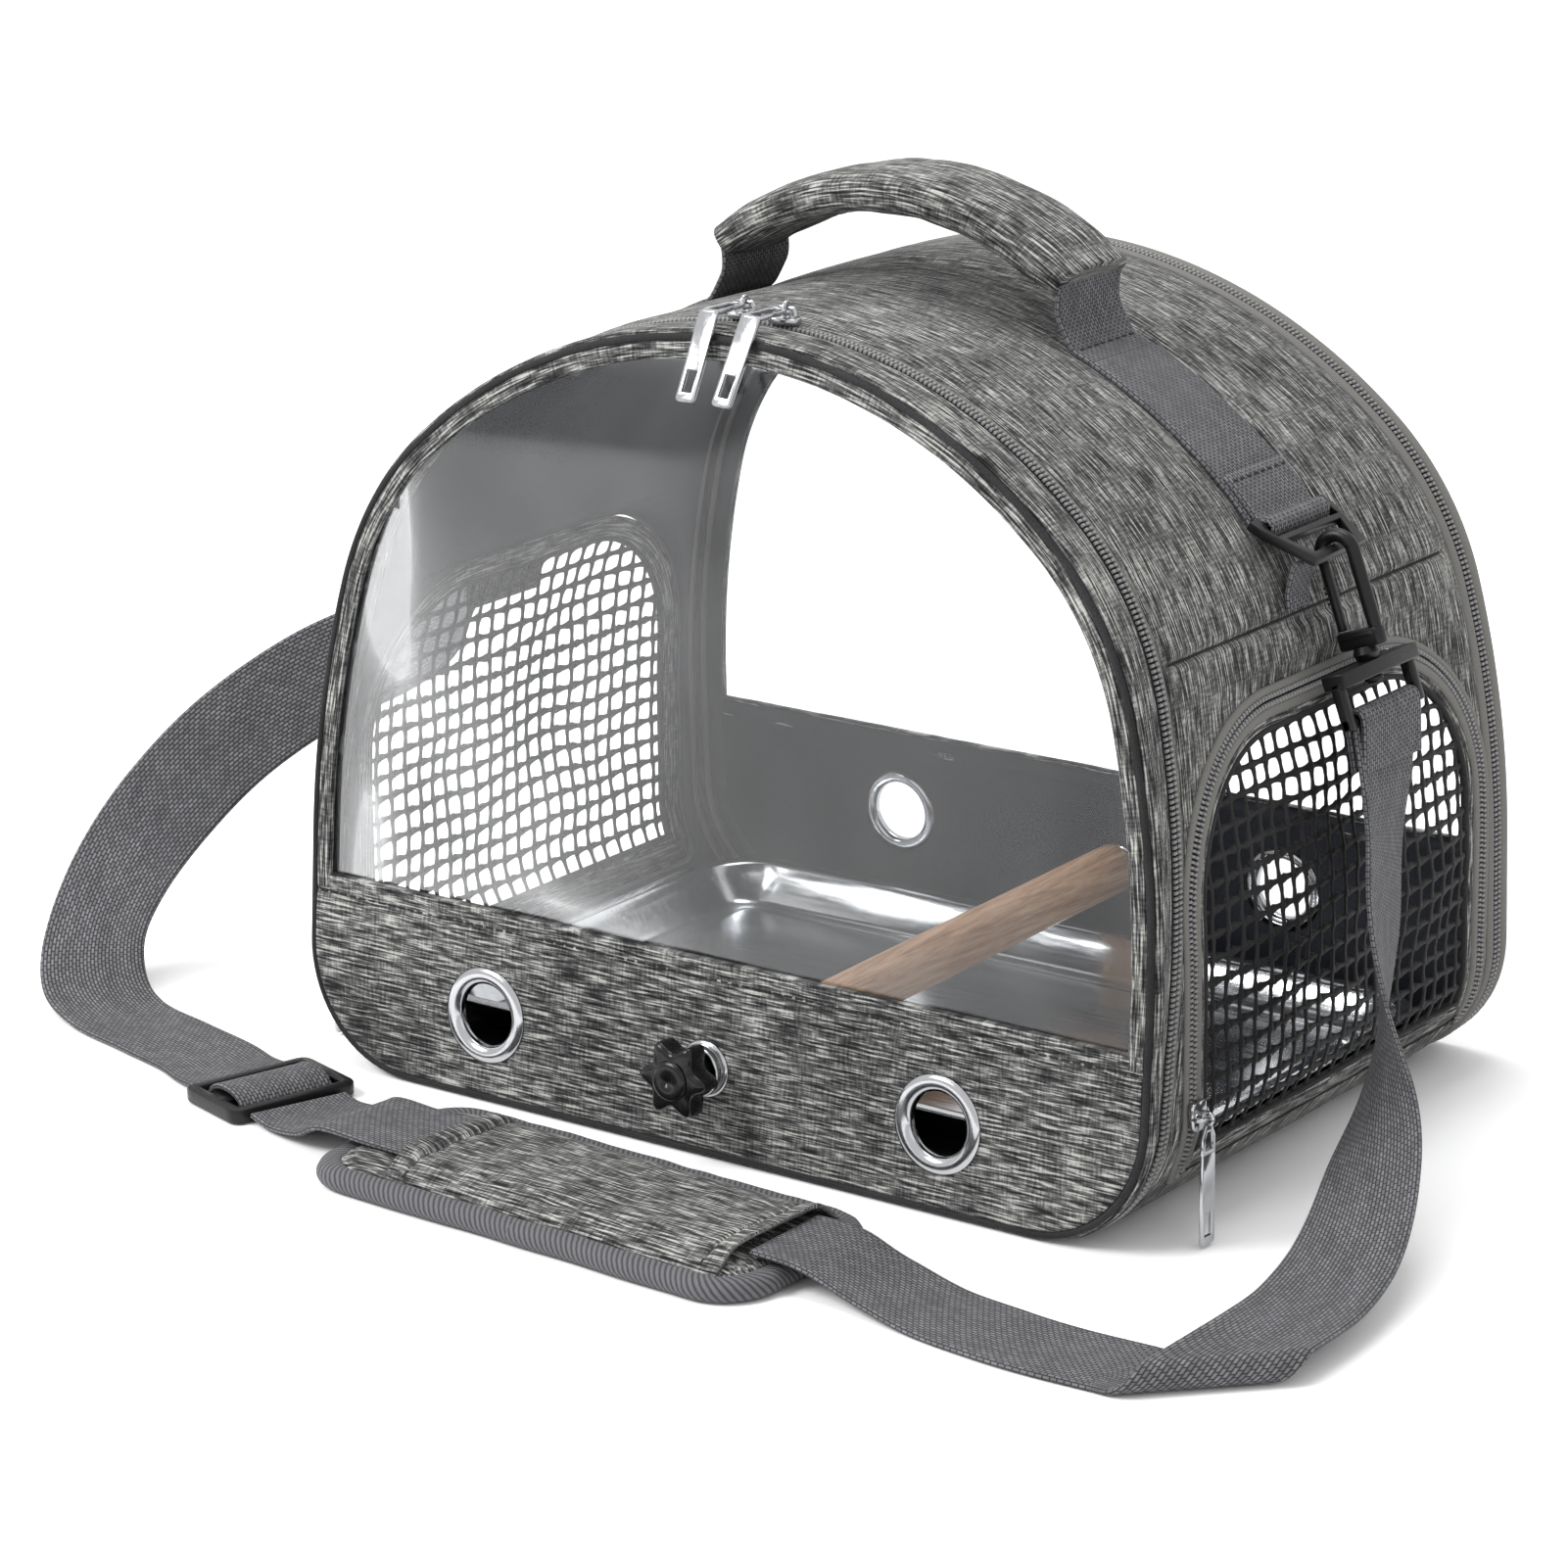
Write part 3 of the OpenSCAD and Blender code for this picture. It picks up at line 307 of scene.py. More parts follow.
def heather_cloth(name, along_map, where="map"):
    """along_map: 0 where the streaks follow the map's first direction, 1 for the second, 2 for Z."""
    material, tree, shader = new_material(
        name, Roughness=0.95, Sheen_Weight=0.04, Sheen_Roughness=0.6, Specular_IOR_Level=0.15
    )
    scale = [1 / YARN] * 3
    cross = [1 / (1.2 * YARN)] * 3
    scale[along_map] = 1 / STREAK
    cross[(along_map + 1) % 2 if where == "map" else 0] = 1 / (5 * MM)
    streaks = node(
        tree,
        "TexNoise",
        [("Scale", 1.0), ("Detail", 2.0), ("Roughness", 0.6)],
        [("Vector", place_in(tree, where, scale))],
    )
    crossing = node(
        tree,
        "TexNoise",
        [("Scale", 1.0), ("Detail", 1.0)],
        [("Vector", place_in(tree, where, cross))],
    )
    broad = node(
        tree,
        "TexNoise",
        [("Scale", 1.0), ("Detail", 1.0)],
        [("Vector", place_in(tree, "object", [1 / (38 * MM)] * 3))],
    )
    weighed = node(
        tree,
        "Math",
        [(1, 0.74)],
        [(0, streaks.outputs["Fac"])],
        operation="MULTIPLY",
    )
    added = node(
        tree,
        "Math",
        [(1, 0.16)],
        [(0, crossing.outputs["Fac"]), (2, weighed.outputs[0])],
        operation="MULTIPLY_ADD",
    )
    total = node(
        tree,
        "Math",
        [(1, 0.1)],
        [(0, broad.outputs["Fac"]), (2, added.outputs[0])],
        operation="MULTIPLY_ADD",
    )
    colour = colour_steps(
        tree, total.outputs[0], (0.38, "#101011"), (0.46, "#343434"), (0.53, "#5c5c5b"), (0.62, "#a6a6a2")
    )
    tree.links.new(colour, shader.inputs["Base Color"])
    bumped(tree, shader, total.outputs[0], 0.5 * MM, 0.6)
    return material


HEATHER_ALONG = heather_cloth("heather polyester, woven, streaks along the strip", 0)
HEATHER_LEVEL = heather_cloth("heather polyester, woven, streaks level", 0, "object")
print("heather cloth made")

# %% [markdown]
# Webbing is woven from thick polyester yarn. Its face shows rows of small ribs that lean one way and
# then the other. A brick pattern, two ribs to a step, is close to that and stays sharp from every side.

# %% Webbing, tapes and lining
RIB = 1.9 * MM


def webbing(name, base, dark, light):
    material, tree, shader = new_material(
        name, Roughness=0.8, Sheen_Weight=0.05, Specular_IOR_Level=0.2
    )
    ribs = node(
        tree,
        "TexBrick",
        [
            ("Color1", linear(light)),
            ("Color2", linear(base)),
            ("Mortar", linear(dark)),
            ("Scale", 1.0),
            ("Mortar Size", 0.2),
            ("Mortar Smooth", 0.8),
            ("Brick Width", 1.3),
            ("Row Height", 0.7),
        ],
        [("Vector", place_in(tree, "map", (1 / RIB, 1 / RIB, 1)))],
    )
    broad = node(
        tree,
        "TexNoise",
        [("Scale", 1.0), ("Detail", 2.0)],
        [("Vector", place_in(tree, "map", (1 / (22 * MM), 1 / (6 * MM), 1)))],
    )
    worn = node(
        tree,
        "MapRange",
        [("From Min", 0.3), ("From Max", 0.7), ("To Min", 0.86), ("To Max", 1.1)],
        [("Value", broad.outputs["Fac"])],
    )
    colour = node(
        tree,
        "VectorMath",
        links=[(0, ribs.outputs["Color"]), (1, worn.outputs["Result"])],
        operation="MULTIPLY",
    )
    tree.links.new(colour.outputs[0], shader.inputs["Base Color"])
    bumped(tree, shader, ribs.outputs["Fac"], -0.35 * MM, 0.7)
    return material


WEBBING = webbing("grey polyester webbing, woven", "#5a5a5d", "#2b2b2d", "#707073")


def twill(name, base, dark, rib_size, roughness=0.8):
    """A fine cloth whose ribs run slantwise across the map."""
    material, tree, shader = new_material(
        name, Roughness=roughness, Sheen_Weight=0.05, Specular_IOR_Level=0.2
    )
    turned = node(
        tree,
        "Mapping",
        [("Scale", [1 / rib_size] * 3), ("Rotation", (0, 0, math.radians(32)))],
        [("Vector", node(tree, "UVMap", uv_map=CLOTH_MAP).outputs["UV"])],
    )
    ribs = node(
        tree,
        "TexWave",
        [("Scale", 0.32), ("Distortion", 0.6), ("Detail", 1.0), ("Detail Scale", 2.0)],
        [("Vector", turned.outputs["Vector"])],
    )
    colour = colour_steps(tree, ribs.outputs["Fac"], (0.1, dark), (0.7, base))
    tree.links.new(colour, shader.inputs["Base Color"])
    bumped(tree, shader, ribs.outputs["Fac"], 0.15 * MM, 0.6)
    return material


TAPE = twill("warm grey polyester tape, woven smooth", "#6d6c69", "#615f5c", 0.7 * MM)
BINDING = twill("grey polyester binding tape, twill woven", "#5d5d60", "#38383b", 1.9 * MM)


def plain_cloth(name, base, dark, thread, roughness):
    """A plain weave on the object's own coordinates, for cloth that has no map."""
    material, tree, shader = new_material(
        name, Roughness=roughness, Specular_IOR_Level=0.25
    )
    weave = node(
        tree,
        "TexNoise",
        [("Scale", 1.0), ("Detail", 2.0)],
        [("Vector", place_in(tree, "object", [1 / thread] * 3))],
    )
    broad = node(
        tree,
        "TexNoise",
        [("Scale", 1.0), ("Detail", 3.0)],
        [("Vector", place_in(tree, "object", [1 / (30 * MM)] * 3))],
    )
    both = node(
        tree,
        "Math",
        [],
        [(0, weave.outputs["Fac"]), (1, broad.outputs["Fac"])],
        operation="MULTIPLY",
    )
    colour = colour_steps(tree, both.outputs[0], (0.15, dark), (0.4, base))
    tree.links.new(colour, shader.inputs["Base Color"])
    bumped(tree, shader, both.outputs[0], 0.15 * MM, 0.4)
    return material


LINING = plain_cloth("blue-grey nylon lining, coated", "#24272f", "#181a20", 0.8 * MM, 0.6)
# The tapes under the zip coils and the doors' zip tapes are a dark copy of the warm grey tape: their charcoal is
# painted shade in the zips' gaps.
UNDER_TAPE_PAINTED_SHADE = plain_cloth("charcoal polyester zip tape, woven", "#262627", "#141415", 0.7 * MM, 0.8)
CORD = plain_cloth("black polyester piping cord, braided", "#29292b", "#151516", 0.7 * MM, 0.75)
THREAD = plain_cloth("dark polyester sewing thread, twisted", "#2c2c2e", "#19191a", 0.3 * MM, 0.8)
NET_YARN = plain_cloth("black polyester net, knitted", "#19191b", "#0a0a0b", 0.6 * MM, 0.6)
print("webbing, tapes, lining, cord, thread and net made")

# %% [markdown]
# ## Metal, plastic, wood and clear sheet
#
# Hard parts get their look mostly from gloss. Chrome plate is a near mirror with fine scratches, the
# tray is stainless steel with the soft haze of rolled sheet, and the hooks are moulded acetal: black
# with a low, waxy shine. The perch is turned beech with short dark flecks along its length.

# %% Hard materials
def scratched_metal(name, colour, low, high, size):
    material, tree, shader = new_material(name, Metallic=1.0, Base_Color=linear(colour))
    marks = node(
        tree,
        "TexNoise",
        [("Scale", 1.0), ("Detail", 4.0)],
        [("Vector", place_in(tree, "object", size))],
    )
    rough = node(
        tree,
        "MapRange",
        [("From Min", 0.3), ("From Max", 0.7), ("To Min", low), ("To Max", high)],
        [("Value", marks.outputs["Fac"])],
    )
    tree.links.new(rough.outputs["Result"], shader.inputs["Roughness"])
    bumped(tree, shader, marks.outputs["Fac"], 0.03 * MM, 0.25)
    return material


CHROME = scratched_metal("chrome plate on steel, polished", "#b4b5b8", 0.1, 0.22, (900, 900, 220))
STEEL = scratched_metal("stainless steel sheet, rolled and pressed", "#dcdee0", 0.12, 0.26, (60, 900, 400))


def moulded_plastic(name, colour, roughness, grain):
    material, tree, shader = new_material(
        name, Base_Color=linear(colour), Roughness=roughness, IOR=1.48, Specular_IOR_Level=0.32
    )
    fine = node(
        tree,
        "TexNoise",
        [("Scale", 1.0), ("Detail", 3.0)],
        [("Vector", place_in(tree, "object", [1 / grain] * 3))],
    )
    rough = node(
        tree,
        "MapRange",
        [("From Min", 0.3), ("From Max", 0.7), ("To Min", roughness - 0.06), ("To Max", roughness + 0.1)],
        [("Value", fine.outputs["Fac"])],
    )
    tree.links.new(rough.outputs["Result"], shader.inputs["Roughness"])
    bumped(tree, shader, fine.outputs["Fac"], 0.04 * MM, 0.35)
    return material


ACETAL = moulded_plastic("black acetal, injection moulded", "#0b0b0c", 0.36, 1.2 * MM)
NYLON = moulded_plastic("grey nylon zip coil, moulded", "#7d7d7d", 0.36, 0.8 * MM)
PHENOLIC = moulded_plastic("black phenolic knob, moulded glossy", "#0d0d0e", 0.2, 2 * MM)


def turned_beech():
    material, tree, shader = new_material(
        "beech, turned and sanded", Roughness=0.52, Specular_IOR_Level=0.35
    )
    grain_place = place_in(tree, "object", (1 / (3 * MM), 1 / (70 * MM), 1 / (2.2 * MM)))
    grain = node(
        tree,
        "TexNoise",
        [("Scale", 1.0), ("Detail", 5.0), ("Roughness", 0.65), ("Distortion", 0.4)],
        [("Vector", grain_place)],
    )
    fleck_place = place_in(tree, "object", (1 / (0.7 * MM), 1 / (9 * MM), 1 / (0.7 * MM)))
    flecks = node(
        tree,
        "TexNoise",
        [("Scale", 1.0), ("Detail", 1.0)],
        [("Vector", fleck_place)],
    )
    both = node(
        tree,
        "Math",
        [(1, 0.25)],
        [(0, flecks.outputs["Fac"]), (2, grain.outputs["Fac"])],
        operation="MULTIPLY_ADD",
    )
    colour = colour_steps(
        tree, both.outputs[0], (0.42, "#8f6446"), (0.56, "#b58762"), (0.68, "#caa07c"), (0.8, "#d8b492")
    )
    tree.links.new(colour, shader.inputs["Base Color"])
    bumped(tree, shader, both.outputs[0], 0.1 * MM, 0.5)
    return material


BEECH = turned_beech()


def clear_vinyl():
    """Light passes straight through; only the gloss of the surface shows, more at a slant."""
    material, tree, shader = new_material(
        "clear PVC sheet, calendered", Base_Color=linear("#f4f6f8"), Roughness=0.06, IOR=1.5
    )
    waves = node(
        tree,
        "TexNoise",
        [("Scale", 1.0), ("Detail", 1.0)],
        [("Vector", place_in(tree, "object", [1 / (60 * MM)] * 3))],
    )
    bumped(tree, shader, waves.outputs["Fac"], 0.8 * MM, 0.25)
    rim = node(tree, "Fresnel", [("IOR", 1.45)])
    share = node(
        tree,
        "Math",
        [(1, 0.5), (2, 0.0)],
        [(0, rim.outputs["Fac"])],
        operation="MULTIPLY_ADD",
    )
    seen_through = node(tree, "BsdfTransparent", [("Color", (0.97, 0.975, 0.98, 1))])
    gloss = node(tree, "BsdfGlossy", [("Color", (1, 1, 1, 1)), ("Roughness", 0.06)])
    tree.links.new(shader.inputs["Normal"].links[0].from_socket, gloss.inputs["Normal"])
    both = node(
        tree,
        "MixShader",
        links=[
            ("Fac", share.outputs[0]),
            (1, seen_through.outputs[0]),
            (2, gloss.outputs[0]),
        ],
    )
    tree.links.new(both.outputs[0], tree.nodes["Material Output"].inputs["Surface"])
    return material


VINYL = clear_vinyl()
print("hard materials made")

# %% [markdown]
# ## Floor and studio light
#
# A pale floor and large soft lamps give the even look of a shop picture. The sky of the scene is white
# too, so that chrome and clear sheet have something bright to reflect.

# %% Floor and light
floor_material, *_ = new_material(
    "pale matt paper", Base_Color=linear("#fafafa"), Roughness=0.9
)
floor = bpy.data.objects.new("floor", bpy.data.meshes.new("floor"))
floor.data.from_pydata([(-14, -14, 0), (14, -14, 0), (14, 14, 0), (-14, 14, 0)], [], [(0, 1, 2, 3)])
floor.data.materials.append(floor_material)
bpy.context.scene.collection.objects.link(floor)

world = bpy.data.worlds.new("white room")
world.use_nodes = True
world.node_tree.nodes["Background"].inputs["Color"].default_value = (1, 1, 1, 1)
world.node_tree.nodes["Background"].inputs["Strength"].default_value = 1.0
bpy.context.scene.world = world
bpy.context.scene.view_settings.view_transform = "Standard"


def soft_lamp(name, place, size, power):
    light = bpy.data.lights.new(name, "AREA")
    light.shape, light.size, light.energy = "DISK", size, power
    lamp = bpy.data.objects.new(name, light)
    bpy.context.scene.collection.objects.link(lamp)
    lamp.location = place
    lamp.rotation_mode = "QUATERNION"
    lamp.rotation_quaternion = (Vector(place) - Vector((0, 0, 0.12))).to_track_quat("Z", "Y")


soft_lamp("key lamp", (-1.1, -1.6, 1.7), 1.2, 52)
soft_lamp("fill lamp", (1.9, -0.8, 1.1), 1.5, 2)
soft_lamp("top lamp", (-0.2, 0.2, 2.2), 1.4, 26)
print("floor and light ready")

# %% [markdown]
# ## The shoulder strap
#
# The strap is one length of 38 mm webbing in three stretches: from the right hook round the front of
# the bag to the pad, from the left hook down to the adjuster, and from the adjuster to the pad. Webbing
# could be simulated, but here its route is a given line of round numbers, each point with the
# direction of the strap's width, and a smooth curve is drawn through them.

# %% Strap routes
WEB_W, WEB_T = 38.0, 2.0
RIGHT_ROUTE = [
    ((185.4, 8, 153), (0, 1, 0)), ((188, 6, 134), (-0.1, 1, 0)), ((190, 2, 112), (-0.25, 1, 0)),
    ((196, -8, 88), (-0.3, 0.95, 0)), ((204, -22, 64), (-0.5, 0.87, 0)), ((216, -44, 42), (-0.75, 0.72, 0)),
    ((230, -74, 26), (-0.9, 0.5, 0)), ((240, -104, 15), (-0.97, 0.25, 0)), ((245.5, -134, 10.4), (-1, 0.05, 0)),
]
FLOOR_ROUTE = [
    ((190, -194.5, 1.4), (0, -1, 0)), ((168, -193, 1.4), (0.1, -1, 0)), ((142, -189, 1.6), (0.2, -1, 0)),
    ((116, -184, 5), (0.1, -1, 0)), ((98, -183, 10), (0, -1, 0)), ((80, -183, 11), (0, -1, 0)),
]
LEFT_ROUTE = [
    ((-185.4, 8, 153), (0, 1, 0)), ((-188, 7, 144), (-0.05, 1, 0)), ((-202, -1, 131), (-0.3, 0.7, 0.5)),
    ((-222, -13, 120), (-0.5, 0.2, 0.8)), ((-246, -30, 106), (-0.55, -0.1, 0.8)),
    ((-268, -50, 86), (-0.6, -0.2, 0.75)), ((-282, -70, 64), (-0.75, -0.25, 0.6)),
    ((-290, -88, 42), (-0.9, -0.3, 0.3)), ((-290, -104, 22), (-1, -0.4, 0.1)),
    ((-280, -117, 8), (-0.8, -0.7, 0)), ((-260, -127, 2), (-0.4, -1, 0)),
    ((-230, -135, 1.4), (-0.3, -1, 0)), ((-204, -142, 1.4), (-0.3, -1, 0)),
    ((-188, -149, 1.8), (-0.3, -1, 0)), ((-175.4, -153.6, 3), (-0.3, -1, 0)),
]
FRONT_ROUTE = [
    ((-140.6, -164.3, 3), (-0.3, -1, 0)), ((-130, -168, 2.4), (-0.25, -1, 0)),
    ((-116, -172, 5), (-0.2, -1, 0)), ((-104, -175, 10.8), (-0.1, -1, 0)),
    ((-84, -177, 11), (-0.05, -1, 0)), ((-64.5, -178, 11), (-0.05, -1, 0)),
]


def smooth_line(points, steps):
    """A curve through every point, with that many steps between neighbours."""
    p = [np.array(q, float) for q in points]
    line = []
    for i in range(len(p) - 1):
        a, b, c, d = p[max(i - 1, 0)], p[i], p[i + 1], p[min(i + 2, len(p) - 1)]
        for t in (k / steps for k in range(steps)):
            line.append(
                0.5 * (2 * b + (c - a) * t + (2 * a - 5 * b + 4 * c - d) * t**2 + (3 * b - a - 3 * c + d) * t**3)
            )
    return np.array(line + [p[-1]])


def unit(v):
    return v / np.linalg.norm(v)


def ribbon_rings(centre, width, web_w=WEB_W, web_t=WEB_T, slanted=False):
    """Cross-sections of flat webbing with rounded, slightly thicker selvedges."""
    half = web_w / 2
    section = [(-half, 0), (-half + 0.35, -0.75), (-half + 1.4, -1.0), (-half + 3, -0.86)]
    section += [(x, -0.86) for x in (-half * 0.4, half * 0.4)]
    section += [(half - 3, -0.86), (half - 1.4, -1.0), (half - 0.35, -0.75), (half, 0)]
    section += [(-x, -t) for x, t in section[1:-1]]
    rings = []
    for i, at in enumerate(centre):
        along = unit(centre[min(i + 1, len(centre) - 1)] - centre[max(i - 1, 0)])
        side = width[i] if slanted else unit(width[i] - (width[i] @ along) * along)
        thick = unit(np.cross(along, side))
        rings.append([at + side * x + thick * t * web_t / 2 for x, t in section])
    return rings


def route_lines(route, before=(), after=()):
    """Centre and square width of a route; the points before and after only lead the curve."""
    places = [*before, *(place for place, _ in route), *after]
    centre = smooth_line(places, 9)
    width = smooth_line([route[0][1]] * len(before) + [side for _, side in route] + [route[-1][1]] * len(after), 9)
    for i in range(len(centre)):
        along = unit(centre[min(i + 1, len(centre) - 1)] - centre[max(i - 1, 0)])
        width[i] = unit(width[i] - (width[i] @ along) * along)
    return centre, width


def strap_stretch(name, centre, width, declared):
    obj = strip(name + "_webbing", ribbon_rings(centre, width, slanted=True), "bag", "webbing", WEBBING, (name,))
    return obj


# %% [markdown]
# Where the right stretch meets the floor it turns a corner. Webbing can't bend in its own plane, so it
# rolls under itself along a slanted line, as a ribbon does when its corner is folded. The lines across
# the strap turn with the fold: square on the way down, slanted at the roll, and square again after it.

# %% Soft fold
FOLD_AT, FOLD_R, FOLD_LOW, FOLD_RUN = np.array([242.0, -189.0, 0.0]), 4.2, 1.4, 16.0


def soft_fold():
    """The strap comes down along -Y, rolls under itself and leaves along -X."""
    crease, past = unit(np.array([-1.0, -1.0, 0.0])), unit(np.array([1.0, -1.0, 0.0]))
    quarter = math.pi / 2 * FOLD_R
    centre, width = [], []
    for s in [*np.linspace(-quarter - FOLD_RUN, -quarter, 8), *np.linspace(-0.85, 0.85, 11) * quarter,
        *np.linspace(quarter, quarter + FOLD_RUN, 8)]:
        angle = max(-math.pi / 2, min(math.pi / 2, s / FOLD_R))
        beyond = FOLD_R * math.cos(angle) - max(abs(s) - quarter, 0)
        height = FOLD_LOW + FOLD_R * (1 - math.sin(angle))
        centre.append(FOLD_AT + crease * s + past * beyond + (0, 0, height))
        slant = 1 - max(abs(s) - quarter, 0) / FOLD_RUN
        width.append(np.array([-1.0, -slant, 0]) if s < 0 else np.array([-slant, -1.0, 0]))
    return np.array(centre), np.array(width)


fold_centre, fold_width = soft_fold()
ramp = route_lines(RIGHT_ROUTE, after=[fold_centre[0]])
leave = route_lines(FLOOR_ROUTE, before=[fold_centre[-1]])
strap_stretch(
    "strap_right",
    np.concatenate([ramp[0][:-1], fold_centre, leave[0][1:]]),
    np.concatenate([ramp[1][:-1], fold_width, leave[1][1:]]),
    True,
)
strap_stretch("strap_left", *route_lines(LEFT_ROUTE), True)
strap_stretch("strap_front", *route_lines(FRONT_ROUTE), False)

# %% [markdown]
# ## The bag's outline
#
# Everything on the bag follows one outline: a flat floor, rounded bottom corners, sides that lean in
# gently, round shoulders and a nearly flat top. It is a chain of arcs, so a line a few millimetres
# inside it is the same chain with smaller radii. Each sample keeps its outward direction, which makes
# a rim, a cord or a row of teeth a matter of moving in or out along it.

# %% Outline
BAG_W, BAG_D, BAG_H = 350.0, 243.0, 279.0
SIDE_Z, SIDE_R, SIDE_SWEEP = 83.0, 365.0, 14.6
SHOULDER_R, CORNER_R = 109.6, 45.0
FRONT_TAN, REAR_TAN = 0.07, 0.04


def polar(centre, radius, degrees):
    a = math.radians(degrees)
    return np.array(centre, float) + radius * np.array([math.cos(a), math.sin(a)])


SIDE_C = np.array([BAG_W / 2 - SIDE_R, SIDE_Z])
SHOULDER_C = polar(SIDE_C, SIDE_R - SHOULDER_R, SIDE_SWEEP)
CROWN_A = 90 - 2 * math.degrees(math.atan((BAG_H - SHOULDER_C[1] - SHOULDER_R) / SHOULDER_C[0]))
CROWN_R = SHOULDER_R + SHOULDER_C[0] / math.cos(math.radians(CROWN_A))
CROWN_C = np.array([0, BAG_H - CROWN_R])


def arc(centre, radius, start, end, step):
    """Points of an arc, without its last, each with its outward direction."""
    count = max(3, round(math.radians(abs(end - start)) * radius / step))
    angles = [start + (end - start) * k / count for k in range(count)]
    return [(polar(centre, radius, a), polar((0, 0), 1, a)) for a in angles]


def mirrored(half):
    """A half outline from bottom to top becomes the whole loop, as two arrays."""
    loop = half + [(p * (-1, 1), d * (-1, 1)) for p, d in reversed(half[1:-1])]
    return np.array([p for p, _ in loop]), np.array([d for _, d in loop])


def level_run(start, end, step, make, direction):
    count = max(2, round(abs(end - start) / step))
    return [
        (np.array(make(start + (end - start) * k / count), float), np.array(direction, float))
        for k in range(count)
    ]


def bag_outline(step):
    half = level_run(0, BAG_W / 2 - CORNER_R, step, lambda x: (x, 0), (0, -1))
    half += arc((BAG_W / 2 - CORNER_R, CORNER_R), CORNER_R, -90, 0, step)
    half += level_run(CORNER_R, SIDE_Z, step, lambda z: (BAG_W / 2, z), (1, 0))
    half += arc(SIDE_C, SIDE_R, 0, SIDE_SWEEP, step)
    half += arc(SHOULDER_C, SHOULDER_R, SIDE_SWEEP, CROWN_A, step)
    half += arc(CROWN_C, CROWN_R, CROWN_A, 90, step)
    return mirrored(half + [(np.array([0, BAG_H]), np.array([0, 1]))])


def front_y(depth, z):
    return FRONT_TAN * z + depth - BAG_D / 2


def rear_y(depth, z):
    return BAG_D / 2 - REAR_TAN * z - depth


def zip_y(past, z):
    """Depth of the front zip's middle, plus a distance past it."""
    return front_y(8.6 + 0.05 * z + past, z)


def wall_x(z, inset=0.0):
    """Half width of the side wall at a height, up to the shoulder."""
    if z < CORNER_R:
        return BAG_W / 2 - CORNER_R + math.sqrt(max((CORNER_R - inset) ** 2 - (z - CORNER_R) ** 2, 0))
    if z < SIDE_Z:
        return BAG_W / 2 - inset
    return SIDE_C[0] + math.sqrt((SIDE_R - inset) ** 2 - (z - SIDE_Z) ** 2)


AROUND, OUT = bag_outline(4.0)
OPEN_PART = AROUND[:, 1] > 3.4
print("outline:", len(AROUND), "points")


def rim_rings(profile, y_of, whole=True, step_points=None):
    """Cross-sections of a rim: the profile's points are (inset, depth)."""
    points, out = step_points or (AROUND, OUT)
    if not whole:
        keep = points[:, 1] > 3.4
        points, out = points[keep], out[keep]
    rings = []
    for p, d in zip(points, out):
        ring = []
        for inset, depth in profile:
            x, z = p - inset * d
            ring.append((x, y_of(depth, z), z))
        rings.append(ring)
    return rings


def rim(name, profile, y_of, body, slot, material, replaced=(), whole=True):
    rings = rim_rings(profile, y_of, whole)
    return strip(name, rings, body, slot, material, replaced, closed_path=whole)


def soft_section(in0, in1, d0, d1, edge=0.7, crown=0.0):
    """A rounded cross-section between two insets and two depths, crowned on its outer side."""
    middle = (d0 + d1) / 2
    return [
        (in0 + edge, d0), (in0 + edge * 0.3, d0 + edge * 0.3), (in0, d0 + edge),
        (in0 - crown, middle),
        (in0, d1 - edge), (in0 + edge * 0.3, d1 - edge * 0.3), (in0 + edge, d1),
        (in1, d1), (in1, d0),
    ]


def round_section(inset, depth, radius, sides=10):
    return [tuple(polar((inset, depth), radius, 360 * k / sides)) for k in range(sides)]


# %% [markdown]
# ## Walls of the bag
#
# The body between the two zips is one padded wall that runs all the way round. It could be a box with
# a cloth simulation, but its shape is already set by the outline, so it is drawn straight onto it: a
# grid that swells by a millimetre or two between the zips, dips at the sewn seam and gathers slightly
# there. Then the arched openings are cut through it.

# %% Body wall
BODY_START = 4.15
REAR_BODY_IN = 18.15
SEAM_Z = 188.0
WALL_T = 3.0


def edge_step(t):
    t = min(max(t, 0.0), 1.0)
    return t * t * (3 - 2 * t)


def body_edges(z, base_z):
    """Front and rear ends of the wall; under the doors the floor reaches further."""
    floor = 1 - edge_step((base_z - 0.4) / 2.6)
    low = zip_y(BODY_START, z) * (1 - floor) + front_y(5.7, z) * floor
    high = rear_y(REAR_BODY_IN, z) * (1 - floor) + rear_y(5.7, z) * floor
    return low, high


def swell(x, y, z, low, high):
    """How far the padding stands out at a point of the wall."""
    from_edge = min(y - low, high - y)
    rise = 1.7 * edge_step(from_edge / 16)
    rise += 1.3 * ripple(x, y, z, 46, 1) * edge_step(from_edge / 14)
    rise += 0.9 * ripple(x, y * 1.6, z, 17, 2) * math.exp(-from_edge / 12) * edge_step(from_edge / 2.5)
    seam = abs(z - SEAM_Z)
    if z > 60:
        rise += 0.55 * ripple(y, 3, x, 12, 3) * math.exp(-seam / 8) * edge_step(seam / 2)
        rise -= 1.5 * math.exp(-((seam / 1.1) ** 2)) * edge_step(from_edge / 2)
    if z < 175:
        near_arch = arch_distance(y, z)
        rise *= edge_step((near_arch - 5) / 16)
    if z < 4:
        rise = 0
    strap = abs(y - 8)
    if z > 185:
        rise = min(rise, 0.5 + 1.6 * edge_step((strap - 21) / 8))
    return rise


def arch_distance(y, z):
    """Distance outside the arched opening, roughly."""
    dy, dz = abs(y - 1) - 34, z - 106
    if dz > 0 and dy > 0:
        return math.hypot(dy, dz) - 60
    return max(abs(y - 1) - 94, z - 166, 20 - z)


